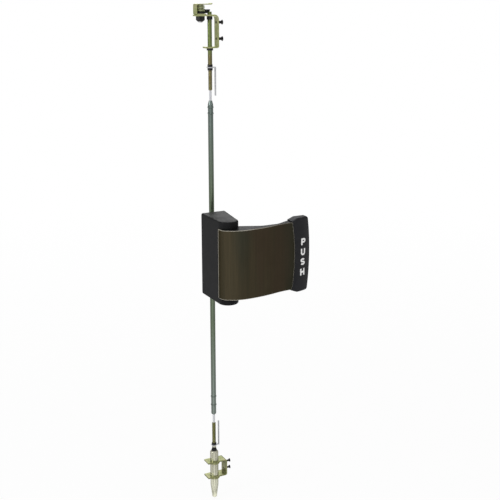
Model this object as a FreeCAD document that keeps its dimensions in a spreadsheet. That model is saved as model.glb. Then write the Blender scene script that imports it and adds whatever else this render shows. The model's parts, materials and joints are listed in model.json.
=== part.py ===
import FreeCAD, Part
import math
import os
import re
import Sketcher

# A paddle deadlatch for a narrow door stile: a housing with a push paddle on the door face, a header latch
# above and a floor bolt below, joined by concealed vertical rods.
# Millimetres and degrees. X runs right along the door, Y into the door and Z up. The origin is the middle of
# the housing's back, where it meets the door face.

# Driving sizes. Each one is written once, here, and every piece takes its size and place from them.
SIZES = {
    # fits
    "running_fit": 0.05,
    "side_gap": 0.3,
    "seat_gap": 0.2,
    # housing
    "housing_width": 40.0,
    "housing_height": 127.0,
    "pivot_reach": 60.0,
    "nose_radius": 15.5,
    "ear_thickness": 10.5,
    "bay_reach": 44.0,
    "bay_side_wall": 2.5,
    "housing_wall": 3.5,
    "end_wall": 4.0,
    "heel_radius": 3.2,
    "rim_radius": 2.4,
    "soft_edge": 1.2,
    "mount_inset": 11.5,
    "mount_hole": 5.0,
    "mount_hole_depth": 20.0,
    "boss_radius": 5.5,
    # back plate and its fasteners
    "back_plate_gauge": 2.5,
    "plate_recess": 0.2,
    "plate_screw_inset": 4.3,
    "plate_screw": 3.0,
    "plate_screw_head": 5.6,
    "plate_screw_length": 11.0,
    "mount_clearance": 6.0,
    # paddle
    "swing_angle": 12.0,
    "plate_gauge": 1.5,
    "plate_overhang": 1.3,
    "wrap_reach": 62.0,
    "wrap_radius": 10.0,
    "shoulder_radius": 50.0,
    "crest_place": 14.0,
    "crest_reach": 88.3,
    "sweep_radius": 200.0,
    "heel_place": 94.0,
    "heel_reach": 78.0,
    "bow_place": 99.0,
    "bow_radius": 300.0,
    "waist_place": 45.0,
    "grip_place": 72.0,
    "waist_reach": 74.0,
    "rear_reach": 63.0,
    "waist_blend": 18.0,
    "hub_radius": 11.0,
    "hub_bore": 8.8,
    "spring_bay_top": 30.0,
    "tongue_gauge": 6.0,
    "tongue_reach": 70.0,
    "tongue_place": 116.0,
    "tongue_inset": 14.4,
    # end cap
    "cap_overhang": 5.6,
    "cap_step": 1.8,
    "cap_shoulder_place": 104.0,
    "cap_bow_place": 130.0,
    "cap_crown_place": 97.0,
    "cap_crown_reach": 79.3,
    "cap_crown_radius": 60.0,
    "cap_back_reach": 62.0,
    "cap_corner": 4.5,
    "cap_edge": 3.0,
    "cap_screw": 3.0,
    "cap_screw_head": 5.6,
    "cap_screw_head_height": 1.8,
    "cap_screw_length": 9.0,
    "cap_screw_place": 108.0,
    "cap_screw_spacing": 50.0,
    # pivot
    "pin_diameter": 8.0,
    "pin_head": 11.0,
    "pin_head_height": 3.0,
    "pin_top_cover": 3.5,
    "bush_diameter": 11.0,
    "bush_length": 12.0,
    "bush_flange": 15.0,
    "bush_flange_gauge": 0.4,
    # drive arm
    "arm_gauge": 8.0,
    "arm_width": 7.0,
    "arm_eye": 18.0,
    "arm_tip": 8.0,
    "dowel_diameter": 2.5,
    "dowel_place": 6.5,
    "dowel_length": 16.0,
    # springs
    "return_wire": 1.6,
    "return_coil_radius": 6.4,
    "return_pitch": 2.4,
    "return_turns": 8,
    "return_leg": 7.0,
    "dog_wire": 1.4,
    "dog_coil_radius": 6.1,
    "dog_pitch": 2.2,
    "dog_turns": 4,
    "dog_leg": 2.4,
    # transfer slide
    "slide_gauge": 4.0,
    "slide_end_gap": 5.0,
    "slot_web": 1.85,
    "cam_pin_diameter": 3.2,
    "cam_slot_gap": 0.15,
    "cam_pin_place": -0.8,
    "cam_inset": 7.0,
    "rod_travel": 12.0,
    "guide_inset": 4.5,
    "guide_diameter": 4.0,
    "guide_head": 7.0,
    "guide_head_height": 1.2,
    "guide_tail": 3.0,
    # actuator case
    "stile_gap": 3.5,
    "case_left": -5.2,
    "case_width": 26.2,
    "case_end": 3.5,
    "case_depth": 23.8,
    "case_wall": 1.6,
    "cover_gauge": 1.5,
    "case_post_radius": 3.6,
    "case_screw": 3.8,
    "case_screw_head": 7.0,
    "case_screw_head_height": 2.0,
    "case_screw_place": -0.2,
    "case_screw_inset": 10.0,
    "spacer_diameter": 8.0,
    # rods
    "rod_place": 8.5,
    "rod_depth": 22.0,
    "tube_diameter": 7.9,
    "tube_bore": 4.8,
    "tube_seat": 3.6,
    "socket_wall": 4.2,
    "socket_length": 13.0,
    "lug_length": 10.0,
    "lug_half_width": 3.0,
    "lug_front_gap": 0.5,
    "cross_pin": 2.5,
    "cross_pin_inset": 5.0,
    "guide_sleeve": 10.0,
    "guide_flange": 13.0,
    "guide_flange_gauge": 1.5,
    "stud_diameter": 5.5,
    "spigot_diameter": 3.8,
    "coupling_diameter": 3.6,
    "bead_rise": 0.65,
    "bead_width": 2.4,
    # top rod chain, heights
    "top_tube_tip": 227.7,
    "top_tube_shoulder": 221.8,
    "top_bead_one": 218.0,
    "top_bead_two": 209.0,
    "tube_tip_diameter": 5.0,
    "top_stud_end": 243.0,
    "top_stud_seat": 280.9,
    "jam_nut_height": 3.6,
    "jam_nut_width": 7.4,
    "clip_gauge": 1.4,
    "clip_width": 8.0,
    "clip_leg_width": 3.0,
    "clip_leg_place": 17.6,
    "top_clip_end": 234.8,
    "latch_rod_diameter": 6.35,
    "latch_rod_top": 356.8,
    "collar_diameter": 8.4,
    "collar_height": 4.7,
    # header latch
    "bracket_gauge": 2.2,
    "bracket_width": 11.5,
    "top_bracket_top": 352.8,
    "top_bracket_bottom": 304.6,
    "top_bracket_left": -15.5,
    "top_bracket_lower_left": -0.4,
    "top_web_place": 21.0,
    "top_bend": 7.0,
    "bend": 3.0,
    "guide_bush_height": 3.2,
    "guide_bush_diameter": 9.4,
    "guide_bush_wall": 1.15,
    "bracket_screw": 4.0,
    "bracket_screw_head": 7.0,
    "bracket_screw_head_height": 2.2,
    "bracket_screw_length": 10.5,
    "bracket_screw_grip": 2.4,
    "top_screw_upper": 341.5,
    "top_screw_lower": 317.8,
    "post_place": -6.3,
    "post_diameter": 7.0,
    "post_head": 10.4,
    "post_tail": 341.8,
    "lock_nut_width": 12.4,
    "lock_nut_height": 5.6,
    "lock_nut_crown": 1.8,
    "cage_gauge": 1.4,
    "cage_left": -15.2,
    "cage_foot_right": 0.4,
    "cage_width": 11.5,
    "cage_bend": 0.8,
    "cage_top": 368.2,
    "lip_place": 8.0,
    "lip_radius": 2.6,
    "dog_bottom": 354.5,
    "dog_base": 1.4,
    "dog_height": 5.4,
    "dog_base_radius": 7.0,
    "dog_sleeve_radius": 5.0,
    "tongue_left": 2.0,
    "tongue_right": 18.3,
    "tongue_width": 5.2,
    "tongue_undercut": 2.6,
    # floor bolt
    "bottom_tube_end": 280.3,
    "bottom_bead_one": 249.0,
    "bottom_bead_two": 263.5,
    "bottom_stud_end": 295.3,
    "bottom_clip_top": 335.0,
    "bottom_clip_end": 294.0,
    "washer_height": 2.4,
    "washer_diameter": 7.0,
    "neck_height": 6.2,
    "neck_small": 5.8,
    "neck_large": 9.2,
    "bolt_diameter": 13.5,
    "bolt_nose": 13.1,
    "bolt_nose_start": 395.0,
    "bolt_round": 3.4,
    "bolt_taper_start": 406.4,
    "bolt_end": 430.0,
    "bolt_tip": 7.5,
    "bolt_tip_round": 1.0,
    "spigot_length": 11.0,
    "bottom_bracket_top": 362.4,
    "bottom_bracket_bottom": 391.0,
    "bottom_bracket_left": -6.0,
    "bottom_web_place": 28.0,
    "bottom_bend": 4.0,
    "bottom_lower_bend": 3.0,
    "bottom_bracket_width": 17.0,
    "bolt_bush_wall": 0.85,
    "bolt_bush_flange": 17.6,
    "bolt_bush_height": 3.0,
    "bottom_screw": 3.0,
    "bottom_screw_head": 6.0,
    "bottom_screw_length": 11.3,
    "bottom_screw_upper": 370.0,
    "bottom_screw_lower": 382.0,
}

# Places that follow from the driving sizes, written as sheet formulas
PIVOT_X = "(nose_radius - housing_width / 2)"
PIVOT_Y = "(-pivot_reach)"
HALF_SWING = "(swing_angle / 2)"
BAY_HALF = "(housing_height / 2 - ear_thickness)"
CAVITY_HALF = "(housing_height / 2 - end_wall)"
SIDE_SLANT = "((housing_width - 2 * nose_radius) / pivot_reach)"
CAVITY_LEFT = "(housing_wall - housing_width / 2)"
CAVITY_RIGHT = "(housing_width / 2 - housing_wall)"
PLATE_FRONT = "(plate_recess + back_plate_gauge)"
SLIDE_BACK = f"({PLATE_FRONT} + seat_gap)"
SLIDE_FRONT = f"({SLIDE_BACK} + slide_gauge)"
ARM_REACH = f"(pivot_reach - {SLIDE_BACK} - slide_gauge / 2)"
SLIDE_TRAVEL = f"(2 * {ARM_REACH} * sin({HALF_SWING}))"
CAM_SLOT_RADIUS = "(cam_pin_diameter / 2 + cam_slot_gap)"
SLIDE_LEFT = f"(cam_pin_place - {CAM_SLOT_RADIUS} - slot_web)"
SLIDE_RIGHT = f"(cam_pin_place + {SLIDE_TRAVEL} + {CAM_SLOT_RADIUS} + slot_web)"
CASE_BACK = "(stile_gap + case_depth)"
PIN_RADIUS = "(pin_diameter / 2)"
TUBE_RADIUS = "(tube_diameter / 2)"
LATCH_ROD_RADIUS = "(latch_rod_diameter / 2)"
CAGE_FOOT = "(top_bracket_top + cage_gauge)"
MOUNT_HEIGHT = f"({CAVITY_HALF} - mount_inset)"
PLATE_SCREW_HEIGHT = f"({CAVITY_HALF} - plate_screw_inset)"
SLIDE_HALF = f"({MOUNT_HEIGHT} - boss_radius - slide_end_gap)"
GUIDE_HEIGHT = f"({SLIDE_HALF} - guide_inset)"
CAM_HEIGHT = f"({GUIDE_HEIGHT} - cam_inset)"
CARRIER_FLOOR = f"({CAM_HEIGHT} - lug_length / 2)"
LUG_HEIGHT = f"({CARRIER_FLOOR} + lug_length)"
SOCKET_HEIGHT = f"({CARRIER_FLOOR} + socket_length)"
CROSS_PIN_HEIGHT = f"({SOCKET_HEIGHT} - cross_pin_inset)"
TUBE_START = f"({CARRIER_FLOOR} + tube_seat)"
CASE_SCREW_HEIGHT = f"({MOUNT_HEIGHT} - case_screw_inset)"
CASE_HALF = f"({CASE_SCREW_HEIGHT} + case_end)"
PADDLE_HALF = f"({BAY_HALF} - bush_flange_gauge - seat_gap)"
PADDLE_HEIGHT = f"(2 * {PADDLE_HALF})"
TONGUE_HEIGHT = f"(2 * ({PADDLE_HALF} - tongue_inset))"
CAP_HEIGHT = f"(2 * ({PADDLE_HALF} + cap_overhang))"
CAP_FRONT_HEIGHT = f"(2 * ({PADDLE_HALF} + cap_step))"

XY = "XY_Plane"
XZ = "XZ_Plane"
YZ = "YZ_Plane"
TURNS = {
    "+Z": FreeCAD.Rotation(),
    "+X": FreeCAD.Rotation(FreeCAD.Vector(0, 1, 0), 90),
    "+Y": FreeCAD.Rotation(FreeCAD.Vector(1, 0, 0), -90),
    "-Y": FreeCAD.Rotation(FreeCAD.Vector(1, 0, 0), 90),
}
WORD = re.compile(r"[a-z_]+")
DOC = FreeCAD.newDocument("paddle_deadlatch")
SHEET = DOC.addObject("Spreadsheet::Sheet", "Sizes")
PIECES = []


def fill_sheet():
    """Write every driving size in the sheet under its own alias."""
    for row, (name, size) in enumerate(SIZES.items(), start=1):
        SHEET.set(f"A{row}", name)
        SHEET.set(f"B{row}", str(size))
        SHEET.setAlias(f"B{row}", name)
    DOC.recompute()


def formula(text):
    """The sheet's formula for a text that names sizes plainly."""

    def cell(word):
        name = word.group(0)
        return "Sizes." + name if name in SIZES else name

    return WORD.sub(cell, str(text))


def size(text):
    """The present value of a formula, as a number."""
    return float(SHEET.evalExpression(formula(text)))


def bind(thing, field, text):
    """Tie one property of a document object to the sheet."""
    thing.setExpression(field, formula(text))


def finished(piece):
    """Keep a piece for writing out."""
    PIECES.append(piece)
    return piece


def new_body(label, x=0, y=0, z=0, along="+Z"):
    """An empty body whose place is bound to the sheet."""
    body = DOC.addObject("PartDesign::Body", label)
    body.Label = label
    place = FreeCAD.Vector(size(x), size(y), size(z))
    body.Placement = FreeCAD.Placement(place, TURNS[along])
    bind(body, "Placement.Base.x", x)
    bind(body, "Placement.Base.y", y)
    bind(body, "Placement.Base.z", z)
    return body


def new_sketch(body, plane, offset=0):
    """A sketch on one of the body's own origin planes, moved along the plane's normal."""
    sketch = body.newObject("Sketcher::SketchObject", "sketch")
    support = next(item for item in body.Origin.OriginFeatures if item.Role == plane)
    sketch.AttachmentSupport = [(support, "")]
    sketch.MapMode = "FlatFace"
    bind(sketch, "AttachmentOffset.Base.z", offset)
    return sketch


def fix_point(sketch, shape, end, x, y):
    """Hold one point of a sketch at a place given by two formulas."""
    for kind, text in (("DistanceX", x), ("DistanceY", y)):
        index = sketch.addConstraint(Sketcher.Constraint(kind, shape, end, size(text)))
        bind(sketch, f"Constraints[{index}]", text)


def draw_run(sketch, start, end, arc):
    """Add one straight run or arc, and return its index with its first and last point numbers."""
    if arc is None:
        return sketch.addGeometry(Part.LineSegment(start, end), False), 1, 2
    centre = FreeCAD.Vector(size(arc[0]), size(arc[1]), 0)
    first, last = (start, end) if arc[2] > 0 else (end, start)
    first_angle = math.atan2(first.y - centre.y, first.x - centre.x)
    last_angle = math.atan2(last.y - centre.y, last.x - centre.x)
    if last_angle <= first_angle:
        last_angle += 2 * math.pi
    circle = Part.Circle(centre, FreeCAD.Vector(0, 0, 1), (start - centre).Length)
    index = sketch.addGeometry(Part.ArcOfCircle(circle, first_angle, last_angle), False)
    return (index, 1, 2) if arc[2] > 0 else (index, 2, 1)


def draw_outline(sketch, path):
    """Draw a closed outline of corners (x, y, arc).

    arc is None for a straight run to the next corner, or (centre x, centre y, turn) for an arc. turn is 1
    anticlockwise and -1 clockwise."""
    corners = [FreeCAD.Vector(size(x), size(y), 0) for x, y, _ in path]
    runs = []
    for i, (_, _, arc) in enumerate(path):
        runs.append(draw_run(sketch, corners[i], corners[(i + 1) % len(path)], arc))
    for i, (index, _, last) in enumerate(runs):
        following, first, _ = runs[(i + 1) % len(runs)]
        sketch.addConstraint(Sketcher.Constraint("Coincident", index, last, following, first))
    for i, (x, y, arc) in enumerate(path):
        index, first, _ = runs[i]
        fix_point(sketch, index, first, x, y)
        if arc is None:
            continue
        chord = corners[(i + 1) % len(path)] - corners[i]
        kind, text = ("DistanceX", arc[0]) if abs(chord.y) > abs(chord.x) else ("DistanceY", arc[1])
        row = sketch.addConstraint(Sketcher.Constraint(kind, index, 3, size(text)))
        bind(sketch, f"Constraints[{row}]", text)


def draw_circle(sketch, x, y, radius):
    """Draw a circle whose centre and radius are bound to the sheet."""
    centre = FreeCAD.Vector(size(x), size(y), 0)
    circle = Part.Circle(centre, FreeCAD.Vector(0, 0, 1), size(radius))
    index = sketch.addGeometry(circle, False)
    fix_point(sketch, index, 3, x, y)
    row = sketch.addConstraint(Sketcher.Constraint("Radius", index, size(radius)))
    bind(sketch, f"Constraints[{row}]", radius)


def corners(*points):
    """A path of straight runs."""
    return [(x, y, None) for x, y in points]


def rectangle(left, low, right, high):
    """A rectangle's path."""
    return corners((left, low), (right, low), (right, high), (left, high))


def slot(x_one, y_one, x_two, y_two, radius):
    """A round-ended slot's path between two centres."""
    run = f"sqrt((({x_two}) - ({x_one}))^2 + (({y_two}) - ({y_one}))^2)"
    across = f"(({y_two}) - ({y_one})) / {run} * ({radius})"
    along = f"(({x_two}) - ({x_one})) / {run} * ({radius})"
    return [
        (f"({x_one}) + {across}", f"({y_one}) - {along}", None),
        (f"({x_two}) + {across}", f"({y_two}) - {along}", (x_two, y_two, 1)),
        (f"({x_two}) - {across}", f"({y_two}) + {along}", None),
        (f"({x_one}) - {across}", f"({y_one}) + {along}", (x_one, y_one, 1)),
    ]


def hexagon(width):
    """A hexagon's path, from its width across flats."""
    reach = f"({width}) / sqrt(3)"
    return corners(*((f"{reach} * cos({60 * i})", f"{reach} * sin({60 * i})") for i in range(6)))


def reversed_path(path):
    """The same path walked the other way."""
    turned_round = []
    for i in range(len(path) - 1, -1, -1):
        arc = path[i - 1][2] if i > 0 else None
        if arc is not None:
            arc = (arc[0], arc[1], -arc[2])
        turned_round.append((path[i][0], path[i][1], arc))
    return turned_round


def add(body, sketch, length, both=False, back=False):
    """Pad a sketch, on both sides of it or against its normal where asked."""
    pad = body.newObject("PartDesign::Pad", "pad")
    pad.Profile = sketch
    pad.SideType = "Symmetric" if both else "One side"
    pad.Reversed = back
    bind(pad, "Length", length)
    return pad


def cut(body, sketch, length, both=False, back=False):
    """Pocket a sketch along its normal, on both sides of it or against its normal where asked."""
    pocket = body.newObject("PartDesign::Pocket", "pocket")
    pocket.Profile = sketch
    pocket.SideType = "Symmetric" if both else "One side"
    pocket.Reversed = not back
    bind(pocket, "Length", length)
    return pocket


def add_path(body, plane, path, length, offset=0, both=False, back=False):
    """Pad a closed path drawn on an origin plane."""
    sketch = new_sketch(body, plane, offset)
    draw_outline(sketch, path)
    return add(body, sketch, length, both, back)


def cut_path(body, plane, path, length, offset=0, both=False, back=False):
    """Pocket a closed path drawn on an origin plane."""
    sketch = new_sketch(body, plane, offset)
    draw_outline(sketch, path)
    return cut(body, sketch, length, both, back)


def add_discs(body, plane, centres, radius, length, offset=0, both=False, back=False):
    """Pad one or more circles of one radius."""
    sketch = new_sketch(body, plane, offset)
    for x, y in centres:
        draw_circle(sketch, x, y, radius)
    return add(body, sketch, length, both, back)


def cut_holes(body, plane, centres, radius, length, offset=0, both=False, back=False):
    """Pocket one or more circles of one radius."""
    sketch = new_sketch(body, plane, offset)
    for x, y in centres:
        draw_circle(sketch, x, y, radius)
    return cut(body, sketch, length, both, back)


def turn_profile(body, path):
    """Revolve a half profile, radius against height, about the body's own Z axis."""
    sketch = new_sketch(body, XZ)
    draw_outline(sketch, path)
    revolution = body.newObject("PartDesign::Revolution", "revolution")
    revolution.Profile = sketch
    revolution.ReferenceAxis = (sketch, ["V_Axis"])
    revolution.Angle = 360
    return revolution


def groove(body, path):
    """Turn a half profile away about the body's own Z axis."""
    sketch = new_sketch(body, XZ)
    draw_outline(sketch, path)
    turn = body.newObject("PartDesign::Groove", "groove")
    turn.Profile = sketch
    turn.ReferenceAxis = (sketch, ["V_Axis"])
    turn.Angle = 360
    return turn


def turned(label, path, x=0, y=0, z=0, along="+Z"):
    """A turned piece."""
    body = new_body(label, x, y, z, along)
    turn_profile(body, path)
    return body


def soften(body, kind, amount, wanted):
    """Fillet or chamfer the edges of a body that a test picks by their middle and direction."""
    DOC.recompute()
    base = body.Tip
    names = []
    for number, edge in enumerate(base.Shape.Edges, start=1):
        middle = edge.valueAt((edge.FirstParameter + edge.LastParameter) / 2)
        ends = edge.valueAt(edge.LastParameter) - edge.valueAt(edge.FirstParameter)
        if wanted(middle, ends):
            names.append(f"Edge{number}")
    feature = body.newObject(f"PartDesign::{kind}", kind.lower())
    feature.Base = (base, names)
    bind(feature, "Radius" if kind == "Fillet" else "Size", amount)
    return feature


def near(value, text):
    """True where a coordinate lies at a formula's value."""
    return abs(value - size(text)) < 0.01


def group(label, members):
    """Several like pieces kept as one node."""
    compound = DOC.addObject("Part::Compound", label)
    compound.Label = label
    compound.Links = members
    return compound


def cavity_right(reach, gap=0):
    """The housing's slanted inner right wall at a reach from the door face."""
    return f"({CAVITY_RIGHT} - ({reach}) * {SIDE_SLANT} - ({gap}))"


# Housing and what is fixed in it


def make_housing():
    """The black casting: rounded nose, two ears, a hollow back with bosses."""
    body = new_body("housing")
    left = "(-housing_width / 2)"
    right = "(housing_width / 2)"
    plan = [
        (left, "0", None),
        (left, PIVOT_Y, (PIVOT_X, PIVOT_Y, 1)),
        (f"{PIVOT_X} + nose_radius", PIVOT_Y, None),
        (right, "0", None),
    ]
    add_path(body, XY, plan, "housing_height", both=True)
    soften(body, "Fillet", "heel_radius", lambda m, e: near(m.y, "0") and abs(e.x) > abs(e.z))
    bay = corners(
        (f"{left} + bay_side_wall", "-bay_reach"),
        (f"{left} + bay_side_wall", PIVOT_Y),
        ("-housing_width", PIVOT_Y),
        ("-housing_width", "-2 * pivot_reach"),
        ("housing_width", "-2 * pivot_reach"),
        ("housing_width", "-bay_reach"),
    )
    cut_path(body, XY, bay, f"2 * {BAY_HALF}", both=True)
    soften(body, "Fillet", "rim_radius", ear_edge)
    depth = "(bay_reach - housing_wall)"
    cavity = corners(
        (CAVITY_LEFT, "seat_gap"),
        (CAVITY_LEFT, f"-{depth}"),
        (cavity_right(depth), f"-{depth}"),
        (cavity_right("-seat_gap"), "seat_gap"),
    )
    cut_path(body, XY, cavity, f"2 * {CAVITY_HALF}", both=True)
    for side in (1, -1):
        inner = f"{side} * {MOUNT_HEIGHT}"
        end = f"{side} * ({CAVITY_HALF} + end_wall / 2)"
        boss = [
            (f"{side} * boss_radius", inner, None),
            (f"{side} * boss_radius", end, None),
            (f"{-side} * boss_radius", end, None),
            (f"{-side} * boss_radius", inner, ("0", inner, 1)),
        ]
        length = f"({depth} - {PLATE_FRONT} + housing_wall / 2)"
        add_path(body, XZ, boss, length, offset=PLATE_FRONT)
    mounts = [("0", MOUNT_HEIGHT), ("0", f"-{MOUNT_HEIGHT}")]
    cut_holes(body, XZ, mounts, "mount_hole / 2", "mount_hole_depth", offset=PLATE_FRONT)
    screws = [("0", PLATE_SCREW_HEIGHT), ("0", f"-{PLATE_SCREW_HEIGHT}")]
    depth_of_screw = "(plate_recess + plate_screw_length + side_gap)"
    cut_holes(body, XZ, screws, "plate_screw / 2 + running_fit", depth_of_screw, offset="0")
    window = rectangle(
        f"{PIVOT_X} - arm_width",
        "-arm_gauge / 2 - 3 * side_gap",
        f"{PIVOT_X} + arm_width",
        "arm_gauge / 2 + 3 * side_gap",
    )
    cut_path(body, XZ, window, "2 * housing_wall", offset=f"{depth} - housing_wall / 2")
    pivot = [(PIVOT_X, PIVOT_Y)]
    bottom = "(-housing_height / 2)"
    cut_holes(body, XY, pivot, f"{PIN_RADIUS} + running_fit", "housing_height - pin_top_cover", offset=bottom)
    cut_holes(body, XY, pivot, "pin_head / 2 + running_fit", "pin_head_height + side_gap", offset=bottom)
    return finished(body)


def ear_edge(middle, ends):
    """The outer rims of the two ears and the upright front edges of the housing."""
    on_end = near(abs(middle.z), "housing_height / 2")
    behind = near(middle.y, "0")
    return on_end and not behind and middle.y > -2 * size("pivot_reach")


def make_back_plate():
    """The steel plate that closes the housing, guides the slide and carries the case."""
    body = new_body("back_plate")
    plan = corners(
        (f"{CAVITY_LEFT} + seat_gap", "-plate_recess"),
        (f"{CAVITY_LEFT} + seat_gap", f"-{PLATE_FRONT}"),
        (cavity_right(PLATE_FRONT, "seat_gap"), f"-{PLATE_FRONT}"),
        (cavity_right("plate_recess", "seat_gap"), "-plate_recess"),
    )
    add_path(body, XY, plan, f"2 * ({CAVITY_HALF} - seat_gap)", both=True)
    through = "4 * back_plate_gauge"
    tip = "(arm_tip / 2 + 2 * side_gap)"
    swing = f"({ARM_REACH} * sin({HALF_SWING}))"
    window = rectangle(
        f"{PIVOT_X} - {swing} - {tip}",
        "-arm_gauge / 2 - 3 * side_gap",
        f"{PIVOT_X} + {swing} + {tip}",
        "arm_gauge / 2 + 3 * side_gap",
    )
    cut_path(body, XZ, window, through, both=True)
    for side in (1, -1):
        top = f"{side} * {CAM_HEIGHT}"
        low = f"{side} * ({CAM_HEIGHT} - rod_travel)"
        path = slot("cam_pin_place", top, "cam_pin_place", low, "cam_pin_diameter / 2 + side_gap")
        cut_path(body, XZ, path, through, both=True)
    ends = (1, -1)
    mounts = [("0", f"{side} * {MOUNT_HEIGHT}") for side in ends]
    cut_holes(body, XZ, mounts, "mount_clearance / 2", through, both=True)
    guides = [("cam_pin_place", f"{side} * {GUIDE_HEIGHT}") for side in ends]
    cut_holes(body, XZ, guides, "guide_tail / 2 + running_fit", through, both=True)
    case_screws = [("case_screw_place", f"{side} * {CASE_SCREW_HEIGHT}") for side in ends]
    cut_holes(body, XZ, case_screws, "case_screw / 2 + running_fit", through, both=True)
    screws = [("0", f"{side} * {PLATE_SCREW_HEIGHT}") for side in ends]
    cut_holes(body, XZ, screws, "plate_screw / 2 + 2 * running_fit", through, both=True)
    head_room = "(plate_recess + back_plate_gauge / 2)"
    cut_holes(body, XZ, screws, "plate_screw_head / 2 + 2 * running_fit", head_room)
    return finished(body)


def flat_screw(label, shank, head, head_height, length, x, y, z, along):
    """A screw from its head's outer face at height 0 to its point, with a flat head."""
    profile = corners(
        ("0", f"-({length})"),
        (f"({shank}) / 2 - ({shank}) / 8", f"-({length})"),
        (f"({shank}) / 2", f"-({length}) + ({shank}) / 4"),
        (f"({shank}) / 2", f"-({head_height})"),
        (f"({head}) / 2", f"-({head_height})"),
        (f"({head}) / 2", "0"),
        ("0", "0"),
    )
    return turned(label, profile, x, y, z, along)


def make_back_plate_screws():
    """Two screws that hold the back plate, heads flush with the door face."""
    members = []
    for name, side in (("upper", 1), ("lower", -1)):
        screw = flat_screw(
            f"{name}_back_plate_screw",
            "plate_screw",
            "plate_screw_head",
            "back_plate_gauge / 2",
            "plate_screw_length",
            0,
            "-plate_recess",
            f"{side} * {PLATE_SCREW_HEIGHT}",
            "+Y",
        )
        members.append(screw)
    return finished(group("back_plate_screws", members))


def make_pivot_pin():
    """The headed pin that the paddle turns on, put in from below."""
    low = "(-housing_height / 2 + side_gap)"
    high = "(housing_height / 2 - pin_top_cover - side_gap)"
    profile = corners(
        ("0", low),
        ("pin_head / 2", low),
        ("pin_head / 2", f"{low} + pin_head_height"),
        (PIN_RADIUS, f"{low} + pin_head_height"),
        (PIN_RADIUS, f"{high} - soft_edge"),
        (f"{PIN_RADIUS} - soft_edge", high),
        ("0", high),
    )
    return finished(turned("pivot_pin", profile, PIVOT_X, PIVOT_Y))


# Paddle


def front_curve(inset):
    """The paddle's front line in plan, moved inwards by an inset: wrap, shoulder, sweep and heel."""
    left = "(-housing_width / 2 - plate_overhang)"
    wrap_x = f"({left} + wrap_radius)"
    shoulder_y = "(shoulder_radius - crest_reach)"
    aside = f"(crest_place - {wrap_x})"
    between = "(shoulder_radius - wrap_radius)"
    wrap_y = f"({shoulder_y} - sqrt({between}^2 - {aside}^2))"
    stretch = f"((shoulder_radius - ({inset})) / {between})"
    joint_x = f"crest_place - {aside} * {stretch}"
    joint_y = f"{shoulder_y} - ({shoulder_y} - {wrap_y}) * {stretch}"
    run = "(heel_place - crest_place)"
    fall = "(crest_reach - heel_reach)"
    angle = f"(2 * atan({fall} / {run}))"
    hollow = f"({run} / sin{angle} - sweep_radius)"
    sweep_y = "(sweep_radius - crest_reach)"
    hollow_y = f"(-heel_reach - {hollow})"
    front = f"(sweep_radius - ({inset}))"
    turn_x = f"crest_place + {front} * sin{angle}"
    turn_y = f"{sweep_y} - {front} * cos{angle}"
    return [
        (f"{left} + ({inset})", "-wrap_reach", None),
        (f"{left} + ({inset})", wrap_y, (wrap_x, wrap_y, 1)),
        (joint_x, joint_y, ("crest_place", shoulder_y, 1)),
        ("crest_place", f"({inset}) - crest_reach", ("crest_place", sweep_y, 1)),
        (turn_x, turn_y, ("heel_place", hollow_y, -1)),
        ("heel_place", f"({inset}) - heel_reach", None),
        ("bow_place + plate_gauge", f"({inset}) - heel_reach", None),
    ]


def cut_bow(body, gap):
    """Trim a piece of the paddle to the bowed line where it meets the end cap."""
    centre = f"(bow_place - ({gap}) - bow_radius)"
    half = f"({PADDLE_HALF} + plate_gauge)"
    edge = f"{centre} + sqrt(bow_radius^2 - {half}^2)"
    outside = "bow_place + tongue_place"
    path = [
        (edge, f"-{half}", (centre, "0", 1)),
        (edge, half, None),
        (outside, half, None),
        (outside, f"-{half}", None),
    ]
    cut_path(body, XZ, path, "2 * crest_reach", both=True)


def make_face_plate():
    """The bronze plate, one gauge thick, wrapped round the paddle's nose and swept to the end cap."""
    body = new_body("face_plate")
    path = front_curve("0") + reversed_path(front_curve("plate_gauge"))
    add_path(body, XY, path, PADDLE_HEIGHT, both=True)
    cut_bow(body, "0")
    return finished(body)


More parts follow.
